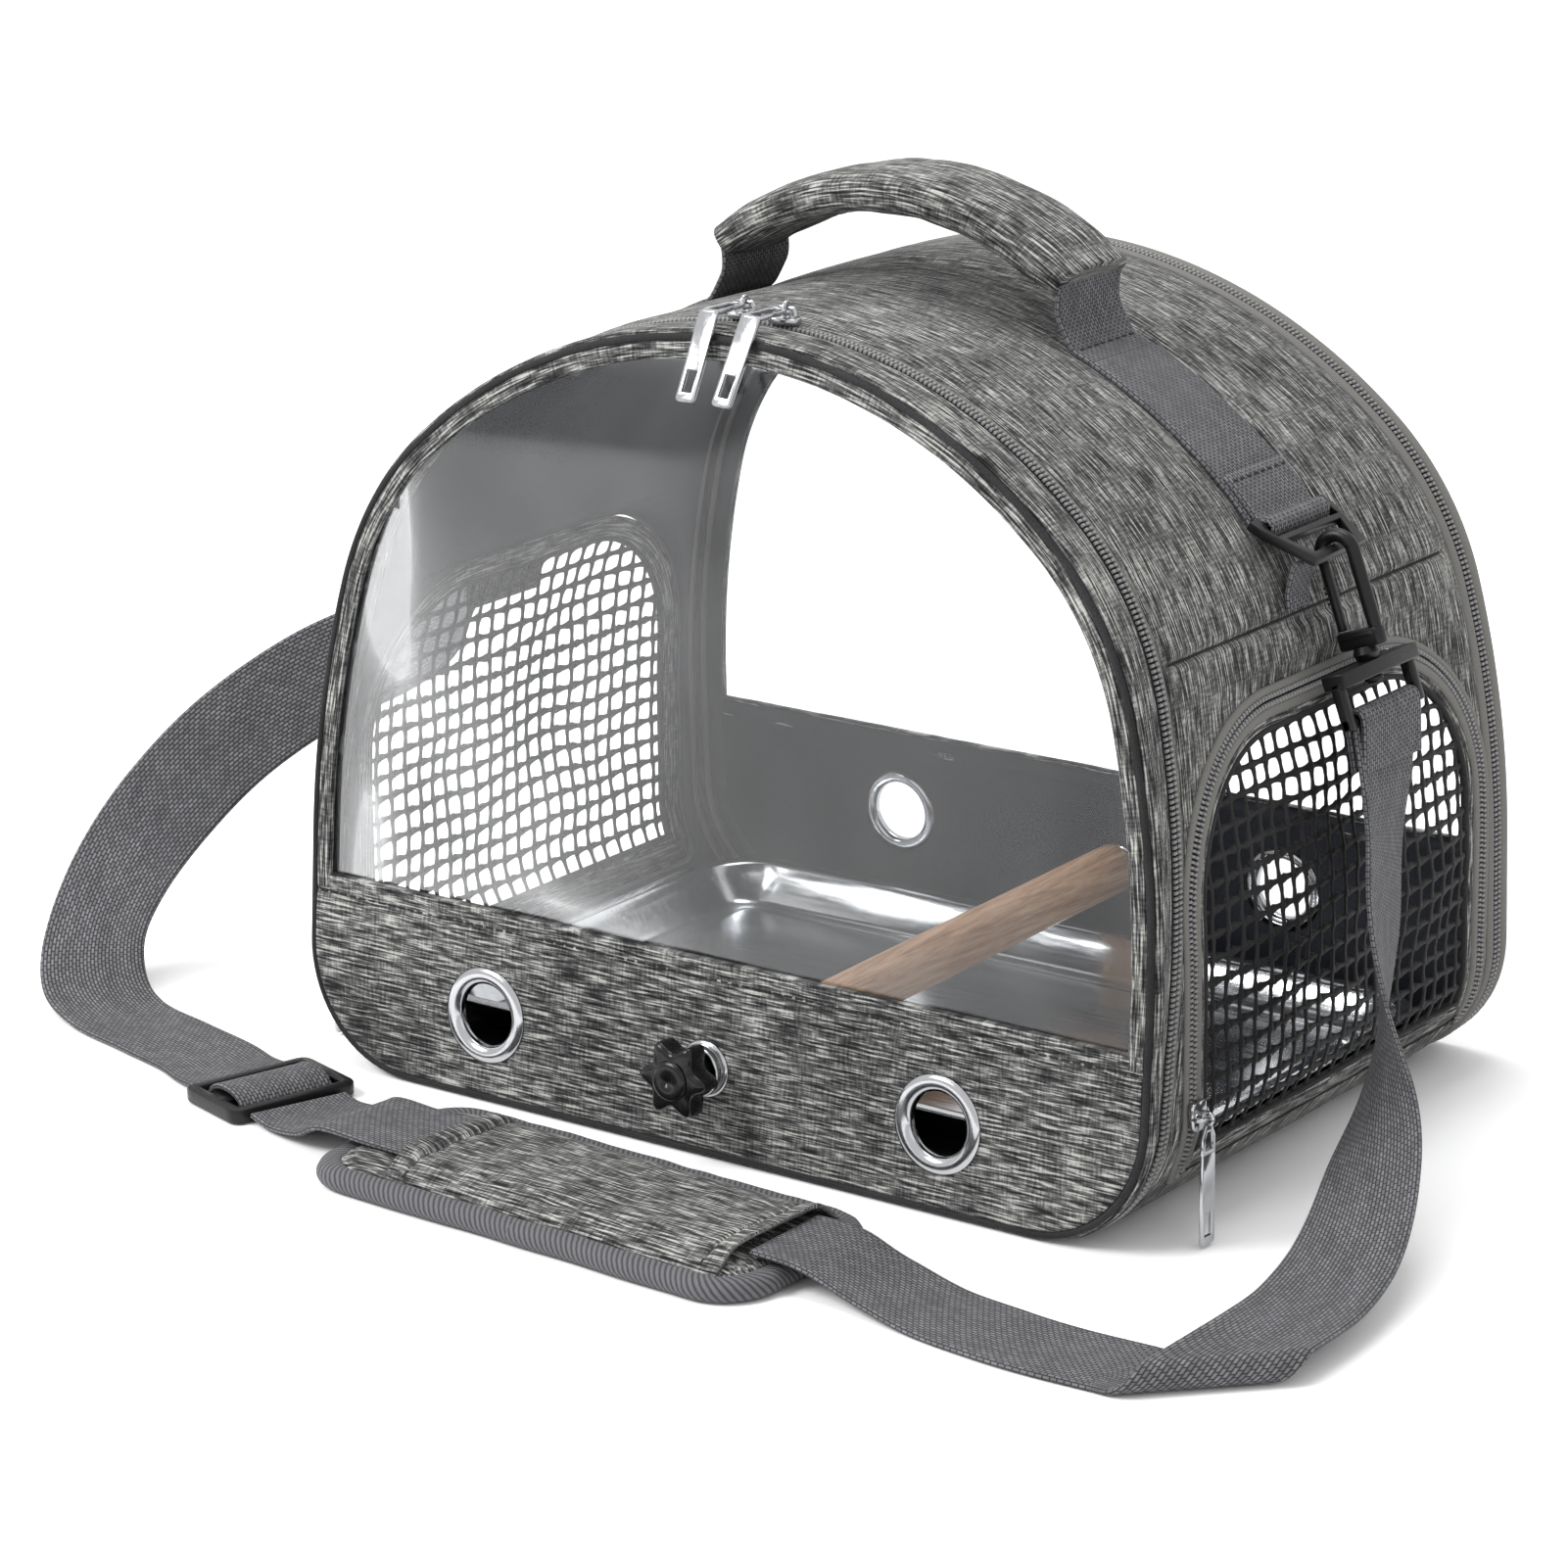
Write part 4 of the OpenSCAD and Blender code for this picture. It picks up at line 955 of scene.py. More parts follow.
def wall_rings(outer, inner, across, y_trim=0.0, padded=True):
    points, out = bag_outline(4.2)
    extra = []
    for offset in (-2.4, -1.2, -0.5, 0.0, 0.5, 1.2, 2.4):
        z = SEAM_Z + offset
        a = math.degrees(math.asin((z - SHOULDER_C[1]) / SHOULDER_R))
        extra.append((polar(SHOULDER_C, SHOULDER_R, a), polar((0, 0), 1, a)))
    keep = [k for k, p in enumerate(points) if abs(p[1] - SEAM_Z) > 3]
    loop = [(points[k], out[k]) for k in keep]
    both = loop + extra + [(p * (-1, 1), d * (-1, 1)) for p, d in extra]
    middle = np.array([0, 120.0])
    both.sort(key=lambda s: -math.atan2(s[0][0] - middle[0], s[0][1] - middle[1]) % (2 * math.pi))
    rings = []
    for p, d in both:
        ring = []
        for k in range(across + 1):
            x, z = p - outer * d
            low, high = body_edges(z, p[1])
            y = low + y_trim + (high - low - 2 * y_trim) * k / across
            rise = swell(x, y, z, low, high) if padded else 0.0
            shift = d * rise
            ring.append((x + shift[0], y, z + shift[1]))
        for k in range(across, -1, -4):
            x, z = p - inner * d
            low, high = body_edges(z, p[1])
            ring.append((x, low + y_trim + (high - low - 2 * y_trim) * k / across, z))
        rings.append(ring)
    return rings


ARCH_Y = 1.0


def arch_outline(inset, step=3.0):
    """The arched opening across Y and Z, moved inward by an inset."""
    half = level_run(0, 86, step, lambda y: (y, 20), (0, -1))
    half += arc((86, 28), 8, -90, 0, 1.5)
    half += level_run(28, 106, step, lambda z: (94, z), (1, 0))
    half += arc((34, 106), 60, 0, 90, step)
    half += level_run(34, 0, step, lambda y: (y, 166), (0, 1))
    points, out = mirrored(half + [(np.array([0, 166.0]), np.array([0, 1.0]))])
    return points - inset * out + (ARCH_Y, 0), out


def cut_arches(obj, inset=-0.35):
    outline, _ = arch_outline(inset)
    for low, high in ((100, 240), (-240, -100)):
        cut(obj, helper_prism([tuple(p) for p in outline], "x", low, high))


body_wall = strip(
    "body_wall", wall_rings(0, WALL_T, 36), "bag", "heather_cloth", HEATHER_ALONG, ("body_shell",), closed_path=True
)
cut_arches(body_wall)
lining = strip(
    "body_lining_cloth", wall_rings(3.1, 4.0, 12, padded=False), "bag", "lining_cloth", LINING,
    ("body_lining",), closed_path=True,
)
cut_arches(lining)
print("body wall:", len(body_wall.data.polygons), "faces")

# %% [markdown]
# ## Zips
#
# A coil zip is two rows of nylon loops with a narrow gap, each sewn to a tape that is folded back beside
# it. Thousands of loops are quick to make as small bricks with chamfered tops, placed at an even pitch
# along the line. The real pitch is 1.3 mm; 1.8 mm matches what the eye makes out in the picture.

# %% Zip helpers
TOOTH_PITCH = 1.8


def resampled(lines, pitch):
    """Places at an even pitch along the first line, and the matching places on the others."""
    first = lines[0]
    s = np.concatenate([[0], np.cumsum(np.linalg.norm(np.diff(first, axis=0), axis=1))])
    t = np.linspace(0, s[-1], max(2, int(s[-1] / pitch)))
    return [np.stack([np.interp(t, s, line[:, k]) for k in range(3)], 1) for line in lines]


def bricks(lines, pitch, length, width, low, high):
    """Small chamfered bricks: lines are the places, points above them and points beside them."""
    at, above, beside = resampled([np.array(line, float) for line in lines], pitch)
    vertices, faces = [], []
    for i, place in enumerate(at):
        forward = unit(at[min(i + 1, len(at) - 1)] - at[max(i - 1, 0)])
        up_way = unit(above[i] - place)
        side = unit(beside[i] - place)
        start = len(vertices)
        levels = ((low, length / 2, width / 2), (high * 0.55, length / 2, width / 2), (high, length / 4, width / 3))
        for height, a, b in levels:
            for sa, sb in ((-1, -1), (1, -1), (1, 1), (-1, 1)):
                vertices.append(tuple(place + forward * sa * a + side * sb * b + up_way * height))
        for level in (0, 4):
            for k in range(4):
                m = (k + 1) % 4
                faces.append((start + level + k, start + level + m, start + level + 4 + m, start + level + 4 + k))
        faces.append((start + 3, start + 2, start + 1, start))
        faces.append((start + 8, start + 9, start + 10, start + 11))
    return vertices, faces, [(0, 0)] * sum(len(f) for f in faces)


def brick_piece(name, parts, body, slot, material):
    vertices, faces, _ = joined(parts)
    obj = piece(name, vertices, faces, body, slot, material, smooth=False)
    outward(obj)
    return obj


def rim_line(inset, depth, y_of):
    points, out = AROUND[OPEN_PART], OUT[OPEN_PART]
    line = []
    for p, d in zip(points, out):
        x, z = p - inset * d
        line.append((x, y_of(depth, z), z))
    return line


def rim_teeth(name, depth, y_of, body):
    lines = [rim_line(0.1, depth, y_of), rim_line(-1, depth, y_of), rim_line(0.1, depth + 1, y_of)]
    return brick_piece(name, [bricks(lines, TOOTH_PITCH, 1.05, 1.5, -0.4, 0.75)], body, "zip_teeth", NYLON)


print("zip helpers ready")

# %% Front and rear zips
rim(
    "front_zip_tape", soft_section(0.1, 2.2, 2.05, 4.05, 0.5, 0.35), zip_y, "bag", "smooth_tape", TAPE,
    ("front_zip_track",), whole=False,
)
# The tapes under the teeth and the doors' halves are drawn dark: painted shade in the zips' gaps.
rim(
    "front_zip_tape_under", soft_section(0.9, 2.2, 0.35, 2.1, 0.2), zip_y, "bag", "smooth_tape", UNDER_TAPE_PAINTED_SHADE,
        whole=False,
)
rim_teeth("front_zip_teeth", 1.2, zip_y, "bag")
rim(
    "front_door_zip_tape", soft_section(0.8, 2.2, -3.2, -0.35, 0.3), zip_y, "front_door", "smooth_tape", UNDER_TAPE_PAINTED_SHADE,
    ("front_zip_half",), whole=False,
)
rim_teeth("front_door_zip_teeth", -1.2, zip_y, "front_door")
rim(
    "rear_zip_band", soft_section(-0.4, 2.2, 13.1, 18.05, 1.0, 0.5), rear_y, "bag", "smooth_tape", TAPE,
    ("rear_zip_track",), whole=False,
)
rim(
    "rear_zip_tape_under", soft_section(0.9, 2.2, 11.35, 13.1, 0.2), rear_y, "bag", "smooth_tape", UNDER_TAPE_PAINTED_SHADE,
        whole=False,
)
rim_teeth("rear_zip_teeth", 12.2, rear_y, "bag")
rim(
    "rear_door_zip_tape", soft_section(0.8, 2.2, 7.9, 10.65, 0.3), rear_y, "rear_door", "smooth_tape", UNDER_TAPE_PAINTED_SHADE,
    ("rear_zip_half",), whole=False,
)
rim_teeth("rear_door_zip_teeth", 9.8, rear_y, "rear_door")
print("front and rear zips made")

# %% [markdown]
# ## Doors
#
# Each door is a clear window in a cloth rim, with a cloth band across its foot and a corded edge. The
# rim is a strip carried round the outline. The band and the window are flat sheets cut to the outline
# with a boolean, because that keeps their edges exact, and their grid lets them wave a little.

# %% Door helpers
def sheet_block(x_size, z_low, z_high, step, y_of, outer, inner, wave):
    """A flat block with a grid on its front and back, which waves may bend."""
    columns, rows = max(2, round(2 * x_size / step)), max(2, round((z_high - z_low) / step))
    vertices, faces, uvs = [], [], []

    def corner(i, k):
        return -x_size + 2 * x_size * i / columns, z_low + (z_high - z_low) * k / rows

    for depth, bend in ((outer, 1.0), (inner, 1.0)):
        for k in range(rows + 1):
            for i in range(columns + 1):
                x, z = corner(i, k)
                vertices.append((x, y_of(depth, z) + bend * wave(x, z), z))

    def index(layer, i, k):
        return layer * (rows + 1) * (columns + 1) + k * (columns + 1) + i

    for layer in (0, 1):
        for k in range(rows):
            for i in range(columns):
                quad = [(i, k), (i + 1, k), (i + 1, k + 1), (i, k + 1)]
                if layer:
                    quad.reverse()
                faces.append(tuple(index(layer, *q) for q in quad))
                uvs += [corner(*q) for q in quad]
    border = [(i, 0) for i in range(columns)] + [(columns, k) for k in range(rows)]
    border += [(i, rows) for i in range(columns, 0, -1)] + [(0, k) for k in range(rows, 0, -1)]
    for a, b in zip(border, border[1:] + border[:1]):
        faces.append((index(0, *a), index(1, *a), index(1, *b), index(0, *b)))
        uvs += [corner(*a), corner(*a), corner(*b), corner(*b)]
    return vertices, faces, uvs


def clip_to_outline(obj, inset):
    points, out = bag_outline(3.0)
    cut(obj, helper_prism([tuple(p) for p in points - inset * out], "y", -400, 400), "INTERSECT")


def lean_matrix(face, x, z):
    """A place on a leaning face, with Z out of the bag."""
    angle = math.atan(FRONT_TAN if face == "front" else REAR_TAN)
    if face == "front":
        turn = Matrix.Rotation(math.pi / 2 - angle, 4, "X")
        y = front_y(0, z)
    else:
        turn = Matrix.Rotation(angle - math.pi / 2, 4, "X")
        y = rear_y(0, z)
    return Matrix.Translation((x, y, z)) @ turn


def moved(matrix, vertices):
    return [tuple(matrix @ Vector(v)) for v in vertices]


def lathe(profile, matrix, sides=56):
    """A turned shape: the profile's points are (radius, height), closed on itself."""
    rings = []
    for k in range(sides):
        a = 2 * math.pi * k / sides
        rings.append([(r * math.cos(a), r * math.sin(a), h) for r, h in profile])
    vertices, faces, uvs = strip_data(rings, closed_path=True)
    return moved(matrix, vertices), faces, uvs


def reach(obj):
    """How far a piece's mesh reaches each way along the three axes."""
    points = np.array([v.co[:] for v in obj.data.vertices])
    return np.concatenate([-points.min(axis=0), points.max(axis=0)])


DRILL_REACH, DRILL_GROWTH = 30, 0.2
DRILL_TURNS = (0, 1.1, 2.3, 0.7, 3.1, 1.9)


def bore(obj, matrix, radius, sides=64):
    """Cuts a round hole along a place's own Z.

    A cut can't make a piece longer, but the exact boolean sometimes leaves its drill behind in a thin
    sheet. So the box is compared, and the drill is turned a little and tried again.
    """
    before, whole = reach(obj), obj.data.copy()
    for turn in DRILL_TURNS:
        drill_hole(obj, matrix, radius, sides, turn)
        if (reach(obj) <= before + DRILL_GROWTH * MM).all():
            return
        obj.data = whole.copy()
    raise ValueError(f"{obj.name}: the drill stays in the mesh at every turn")


def drill_hole(obj, matrix, radius, sides, turn):
    """One try at the hole, with the drill's corners turned by some degrees."""
    circle = [tuple(polar((0, 0), radius, 360 * k / sides + turn)) for k in range(sides)]
    n = len(circle)
    vertices = [(x, y, h) for h in (-DRILL_REACH, DRILL_REACH) for x, y in circle]
    faces = [tuple(reversed(range(n))), tuple(range(n, 2 * n))]
    faces += [(i, (i + 1) % n, n + (i + 1) % n, n + i) for i in range(n)]
    mesh = bpy.data.meshes.new("drill")
    mesh.from_pydata([tuple(MM * c for c in v) for v in moved(matrix, vertices)], [], faces)
    drill = bpy.data.objects.new("drill", mesh)
    bpy.context.scene.collection.objects.link(drill)
    outward(drill)
    cut(obj, drill)


def stitch_row(points, above, beside, length=3.0, gap=1.3, width=0.7):
    return bricks((points, above, beside), length + gap, length, width, -0.2, 0.3)


FACE_D, FACE_BACK, DOOR_BACK = 1.0, 3.0, 5.2
EYELET_HOLE_R, SCREW_HOLE_R = 12.1, 5.8
COLUMN_IN, WINDOW_IN = 4.6, 9.5
DOOR = {
    "front": dict(y=front_y, band=68.9, eye_x=94.5, eye_z=31.4, perch=(0, 31.4), body="front_door"),
    "rear": dict(y=rear_y, band=78.7, eye_x=84.0, eye_z=47.0, perch=(14, 43), body="rear_door"),
}


def band_holes(obj, face, facts):
    for side in (-1, 1):
        bore(obj, lean_matrix(face, side * facts["eye_x"], facts["eye_z"]), EYELET_HOLE_R)
    bore(obj, lean_matrix(face, *facts["perch"]), SCREW_HOLE_R)


def cloth_band(face, facts):
    y_of, top = facts["y"], facts["band"]
    outward_sign = -1 if face == "front" else 1

    def wave(x, z):
        hem = math.exp(-(((z - top + 6.5) / 1.4) ** 2)) * 0.5
        near = min(math.hypot(x - s * facts["eye_x"], z - facts["eye_z"]) for s in (-1, 1))
        calm = edge_step((near - 17) / 14)
        full = 0.5 * ripple(x, 0, z, 30, 5) * calm + 0.35 * ripple(x, 0, z * 0.6, 11,
            6) * math.exp(-(top - z) / 12) * calm
        return -outward_sign * (hem - full)

    vertices, faces, uvs = sheet_block(176, -2, top, 3.2, y_of, FACE_D, FACE_BACK + 0.8, wave)
    obj = piece(
        face + "_band_cloth", vertices, faces, facts["body"], "heather_cloth", HEATHER_ALONG,
        (face + "_band",), uvs,
    )
    outward(obj)
    clip_to_outline(obj, 3.5)
    band_holes(obj, face, facts)
    back = piece(
        face + "_band_lining", *sheet_block(176, -2, top - 1, 6.0, y_of, FACE_BACK + 0.9, FACE_BACK + 1.4,
            lambda x, z: 0)[:2],
        facts["body"], "lining_cloth", LINING,
    )
    outward(back)
    clip_to_outline(back, COLUMN_IN)
    band_holes(back, face, facts)
    half = wall_x(top, COLUMN_IN + 2)
    ends = [(x, y_of(FACE_D, top - 6.5) - outward_sign * 0.45, top - 6.5) for x in np.linspace(-half, half, 90)]
    above = [(x, y + outward_sign, z) for x, y, z in ends]
    beside = [(x, y, z + 1) for x, y, z in ends]
    brick_piece(face + "_band_stitches", [stitch_row(ends, above, beside)], facts["body"], "heather_cloth", THREAD)
    return obj


def clear_window(face, facts):
    y_of, low = facts["y"], facts["band"] - 7.9
    sign = -1 if face == "front" else 1

    def wave(x, z):
        inside = edge_step(min((z - low) / 25, (262 - z) / 30, (160 - abs(x)) / 30))
        return sign * (1.3 + 1.4 * ripple(x, 0, z, 90, 7) + 0.2 * ripple(x + z, 0, z - x, 40, 8)) * inside

    vertices, faces, uvs = sheet_block(172, low, 282, 5.0, y_of, 3.1, 3.7, wave)
    obj = piece(face + "_window_sheet", vertices, faces, facts["body"], "clear_sheet", VINYL, (face + "_window",), uvs)
    outward(obj)
    clip_to_outline(obj, 6.7)
    return obj


def door_rim(face, facts, cloth):
    y_of, body = facts["y"], facts["body"]
    points, out = bag_outline(4.0)
    keep = points[:, 1] > facts["band"] - 6
    section = [(3.4, 2.9), (3.3, 1.6), (3.9, 1.0), (WINDOW_IN - 1.1, 0.9)]
    section += [(WINDOW_IN - 0.2, 1.3), (WINDOW_IN, 2.2), (WINDOW_IN - 0.3, 3.0)]
    rings = rim_rings(section, y_of, step_points=(points[keep], out[keep]))
    strip(face + "_rim_face", rings, body, "heather_cloth", HEATHER_ALONG)
    flange = [(0.8, 4.2), (WINDOW_IN, 4.2), (WINDOW_IN, DOOR_BACK), (0.8, DOOR_BACK)]
    rim(face + "_rim_flange", flange, y_of, body, "lining_cloth", LINING, (face + "_door_rim",))
    if face == "front":

        def mixed(depth, z):
            return front_y(depth, z) if depth > 0.5 else zip_y(depth, z)

        outer = [(1.5, 2.7), (0.5, 2.6), (-0.1, 3.3), (-0.35, 6.0), (-0.35, -5.2), (-0.1, -3.9), (0.6, -3.2),
            (2.8, -3.2), (2.8, 4.1), (1.7, 3.6)]
        rim("front_rim_side", outer, mixed, body, "heather_cloth", HEATHER_ALONG, whole=False)
    else:
        outer = soft_section(0.0, 2.8, 2.9, 7.95, 0.9, 0.4)
        rim("rear_rim_side", outer, y_of, body, "smooth_tape", cloth, whole=False)
    cord = round_section(2.3, 1.9, 1.25)
    rim(face + "_piping_cord", cord, y_of, body, "piping_cord", CORD, (face + "_piping",))


door_rim("front", DOOR["front"], HEATHER_ALONG)
door_rim("rear", DOOR["rear"], TAPE)
for face, facts in DOOR.items():
    cloth_band(face, facts)
    clear_window(face, facts)
print("doors made")

# %% [markdown]
# ## Eyelets, perch and knob
#
# The vents are rolled chrome eyelets, made like a turned part: one closed profile swept about an axis.
# The knob that holds the perch is a six-lobed star; its outline is a circle whose radius swells six
# times, stacked in a few layers so that its edges are round.

# %% Eyelets
def eyelet_profile(bore_r, flange_r, front, rear):
    wide = flange_r - bore_r
    return [
        (bore_r, rear + 0.4), (bore_r, front - 0.6), (bore_r + 0.15 * wide, front + 0.6),
        (bore_r + 0.4 * wide, front + 1.35), (bore_r + 0.7 * wide, front + 1.25),
        (flange_r - 0.25, front + 0.6), (flange_r, front - 0.1), (flange_r - 0.5, front - 0.05),
        (bore_r + 1, front - 0.05), (bore_r + 1, rear), (flange_r - 1.2, rear),
        (flange_r - 1.0, rear - 0.7), (bore_r + 1.2, rear - 1.0),
    ]


for face, facts, name in (("front", DOOR["front"], "vent_eyelets"), ("rear", DOOR["rear"], "rear_eyelets")):
    parts = [
        lathe(eyelet_profile(11, 17, -0.95, -3.95), lean_matrix(face, side * facts["eye_x"], facts["eye_z"]))
        for side in (-1, 1)
    ]
    vertices, faces, uvs = joined(parts)
    outward(piece(name.rstrip("s") + "_rings", vertices, faces, facts["body"], "chrome", CHROME, (name,)))
WASHER_PROFILE = [(3.3, -4.9), (3.3, 0.1), (4.2, 0.35), (8.8, 0.3), (9.8, -0.2), (9.9, -0.9), (5.6, -0.95),
    (5.6, -4.0), (9, -4.0), (9, -4.9)]
for face, node_name, piece_name in (
    ("front", "perch_eyelet", "perch_washer"),
    ("rear", "rear_perch_plate", "rear_perch_washer"),
):
    vertices, faces, uvs = lathe(WASHER_PROFILE, lean_matrix(face, *DOOR[face]["perch"]))
    outward(piece(piece_name, vertices, faces, DOOR[face]["body"], "chrome", CHROME, (node_name,)))
cup = [(3.3, 0.35), (3.3, 1.8), (7.3, 1.9), (7.7, 4.3), (8.2, 4.5), (8.8, 4.0), (8.9, 1.0), (8.2, 0.35)]
vertices, faces, uvs = lathe(cup, lean_matrix("front", 0, 31.4))
outward(piece("perch_cup_shell", vertices, faces, "front_door", "chrome", CHROME, ("perch_cup",)))
print("eyelets made")

# %% Star knob and perch
knob_layers = [(8.9, 0.80), (9.3, 0.93), (10.2, 1.0), (16.4, 1.0), (17.6, 0.97), (18.3, 0.86), (18.5, 0.7)]
knob_rings = []
for height, share in knob_layers:
    ring = []
    for k in range(96):
        a = 2 * math.pi * k / 96
        radius = share * (11.3 + 2.15 * math.cos(6 * a) + 0.25 * math.cos(12 * a))
        ring.append((radius * math.cos(a), radius * math.sin(a), height))
    knob_rings.append(ring)
knob_place = lean_matrix("front", 0, 31.4)
star = strip_data(knob_rings)
hub = lathe([(0.3, 2.6), (5.8, 2.6), (6.4, 3.2), (6.2, 9.4), (0.3, 9.4)], Matrix.Identity(4))
cap = lathe([(0.3, 18.0), (6.6, 18.0), (6.9, 18.7), (6.5, 19.6), (5.2, 20.0), (0.3, 20.0)], Matrix.Identity(4))
stem = lathe([(0.3, -19.8), (2.6, -19.8), (2.95, -19.4), (2.95, 3.0), (0.3, 3.0)], Matrix.Identity(4), 24)
vertices, faces, uvs = joined([star, hub, cap])
knob = piece("star_knob_grip", moved(knob_place, vertices), faces, "star_knob", "black_plastic", PHENOLIC,
    ("star_knob",))
outward(knob)
vertices, faces, uvs = stem
outward(piece("star_knob_screw", moved(knob_place, vertices), faces, "star_knob", "chrome", CHROME))

perch_low, perch_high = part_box("perch")
start = np.array([0, perch_low[1] / MM, 31.4])
end = np.array([14.0, perch_high[1] / MM, 43.0])
along = unit(end - start)
side = unit(np.cross(along, (0, 0, 1)))
over = np.cross(side, along)
perch_rings = []
for t, radius in ((0.8, 8.2), (1.3, 8.9), (2.4, 9.2), *((s, 9.2) for s in range(12, 200, 12)), (-2.4, 9.2),
    (-1.3, 8.9), (-0.8, 8.2)):
    centre = start + along * t if t > 0 else end + along * t
    perch_rings.append(
        [centre + radius * (side * math.cos(2 * math.pi * k / 40) + over * math.sin(2 * math.pi * k / 40)) for k in range(40)]
    )
strip("perch_rod", perch_rings, "front_door", "beech", BEECH, ("perch",))
print("knob and perch made; perch is", round(float(np.linalg.norm(end - start))), "mm long")

# %% [markdown]
# ## Side flaps
#
# Each side has a net in a cloth frame, closed by a zip that runs up, over and down the arch. The net is
# knitted, so its strands thicken where they cross and no two cells are quite alike. It is drawn as
# separate strands on the curve of the wall, a little slack, rather than as a texture, because one looks
# through it. The real cell is 8 mm.

# %% Flap frames and zips
def on_wall(side, y, z, inset):
    return (side * wall_x(z, inset), y, z)


def arch_rings(profile, side, low=None):
    """Cross-sections round an arch: the profile's points are (inset in the arch, inset in the wall)."""
    points, out = arch_outline(0.0)
    if low is not None:
        keep = points[:, 1] > low
        points, out = points[keep], out[keep]
    rings = []
    for p, d in zip(points, out):
        ring = []
        for a, w in profile:
            y, z = p - a * d
            ring.append(on_wall(side, y, z, w))
        rings.append(ring)
    return rings


FRAME_SECTION = [(0.4, 2.2), (0.4, 0.5), (1.0, 0.2), (5.2, -0.35), (7.6, -0.3), (8.5, 0.3), (8.5, 2.2)]
TAPE_SECTION = [(2.0, 0.1), (2.0, -0.8), (2.5, -1.2), (3.6, -1.35), (4.8, -1.1), (5.3, -0.5), (5.3, 0.1)]
UNDER_SECTION = [(0.4, 0.1), (0.4, -0.45), (2.1, -0.45), (2.1, 0.1)]
OUTER_SECTION = [(-a * 0.70 - 0.6, w) for a, w in TAPE_SECTION]
ZIP_FOOT = 21.0


def arch_teeth(side, a):
    lines = [
        [ring[0] for ring in arch_rings([point], side, ZIP_FOOT)]
        for point in ((a, -0.5), (a, -1.5), (a + 1, -0.5))
    ]
    return bricks(lines, TOOTH_PITCH, 1.05, 1.55, -0.2, 1.0)


for side, name in ((1, "right"), (-1, "left")):
    body = name + "_flap"
    strip(
        name + "_flap_hem", arch_rings(FRAME_SECTION, side), body, "heather_cloth", HEATHER_ALONG,
        (name + "_flap_frame",), closed_path=True,
    )
    strip(name + "_flap_tape", arch_rings(TAPE_SECTION, side, ZIP_FOOT), body, "smooth_tape", TAPE)
    # The tapes under the flap's and the arch's teeth are drawn dark: painted shade in the zip's gap.
    strip(name + "_flap_tape_under", arch_rings(UNDER_SECTION, side, ZIP_FOOT), body, "smooth_tape", UNDER_TAPE_PAINTED_SHADE)
    brick_piece(name + "_flap_teeth", [arch_teeth(side, 1.2)], body, "zip_teeth", NYLON)
    mirrored_under = [(-a, w) for a, w in UNDER_SECTION]
    strip(
        name + "_arch_tape", arch_rings(OUTER_SECTION, side, ZIP_FOOT), "bag", "smooth_tape", TAPE,
        ("side_zip_tracks",),
    )
    strip(name + "_arch_tape_under", arch_rings(mirrored_under, side, ZIP_FOOT), "bag", "smooth_tape", UNDER_TAPE_PAINTED_SHADE)
    brick_piece(name + "_arch_teeth", [arch_teeth(side, -1.2)], "bag", "zip_teeth", NYLON)
print("flap frames and side zips made")

# %% Nets
NET_PITCH = 8.0
NET_INSET = 8.2


def net_place(side, y, z):
    inside = max(0.0, -arch_distance(y, z) - NET_INSET)
    slack = 1 - math.exp(-inside / 16)
    stand = 2.2 * slack + 3.4 * slack * ripple(y, z, 0, 34, 20 + side)
    shift_y = slack * (3.2 * ripple(y, z, 9, 44, 22 + side) + 0.8 * ripple(y, z, 9, 15, 23 + side))
    shift_z = slack * (2.2 * ripple(z, y, 5, 44, 24 + side) + 0.8 * ripple(z, y, 5, 15, 25 + side))
    return on_wall(side, y + shift_y, z + shift_z, 1.1 - stand)


def strand(side, line, phase):
    """A knitted strand: its points are (y, z), and it thickens at each crossing."""
    centre = np.array([net_place(side, y, z) for y, z in line])
    rings = []
    for i, at in enumerate(centre):
        forward = unit(centre[min(i + 1, len(centre) - 1)] - centre[max(i - 1, 0)])
        out = np.array([side, 0, 0.12])
        across = unit(np.cross(out, forward))
        out = np.cross(forward, across)
        swollen = 0.5 + 0.5 * math.cos(2 * math.pi * (i % 4) / 4)
        wide, thick = 0.95 + 0.85 * swollen**2, 0.45 + 0.3 * swollen
        lift = 0.18 * math.cos(math.pi * (i // 4 + phase))
        rings.append(
            [at + out * lift + across * wide * math.cos(a) + out * thick * math.sin(a)
             for a in (2 * math.pi * k / 6 for k in range(6))]
        )
    return strip_data(rings)


def half_width_at(z):
    over = z - 106
    return 94 - NET_INSET if over < 0 else 34 + math.sqrt(max((60 - NET_INSET) ** 2 - over**2, 0))


def top_at(y):
    over = abs(y) - 34
    return 166 - NET_INSET if over < 0 else 106 + math.sqrt(max((60 - NET_INSET) ** 2 - over**2, 0))


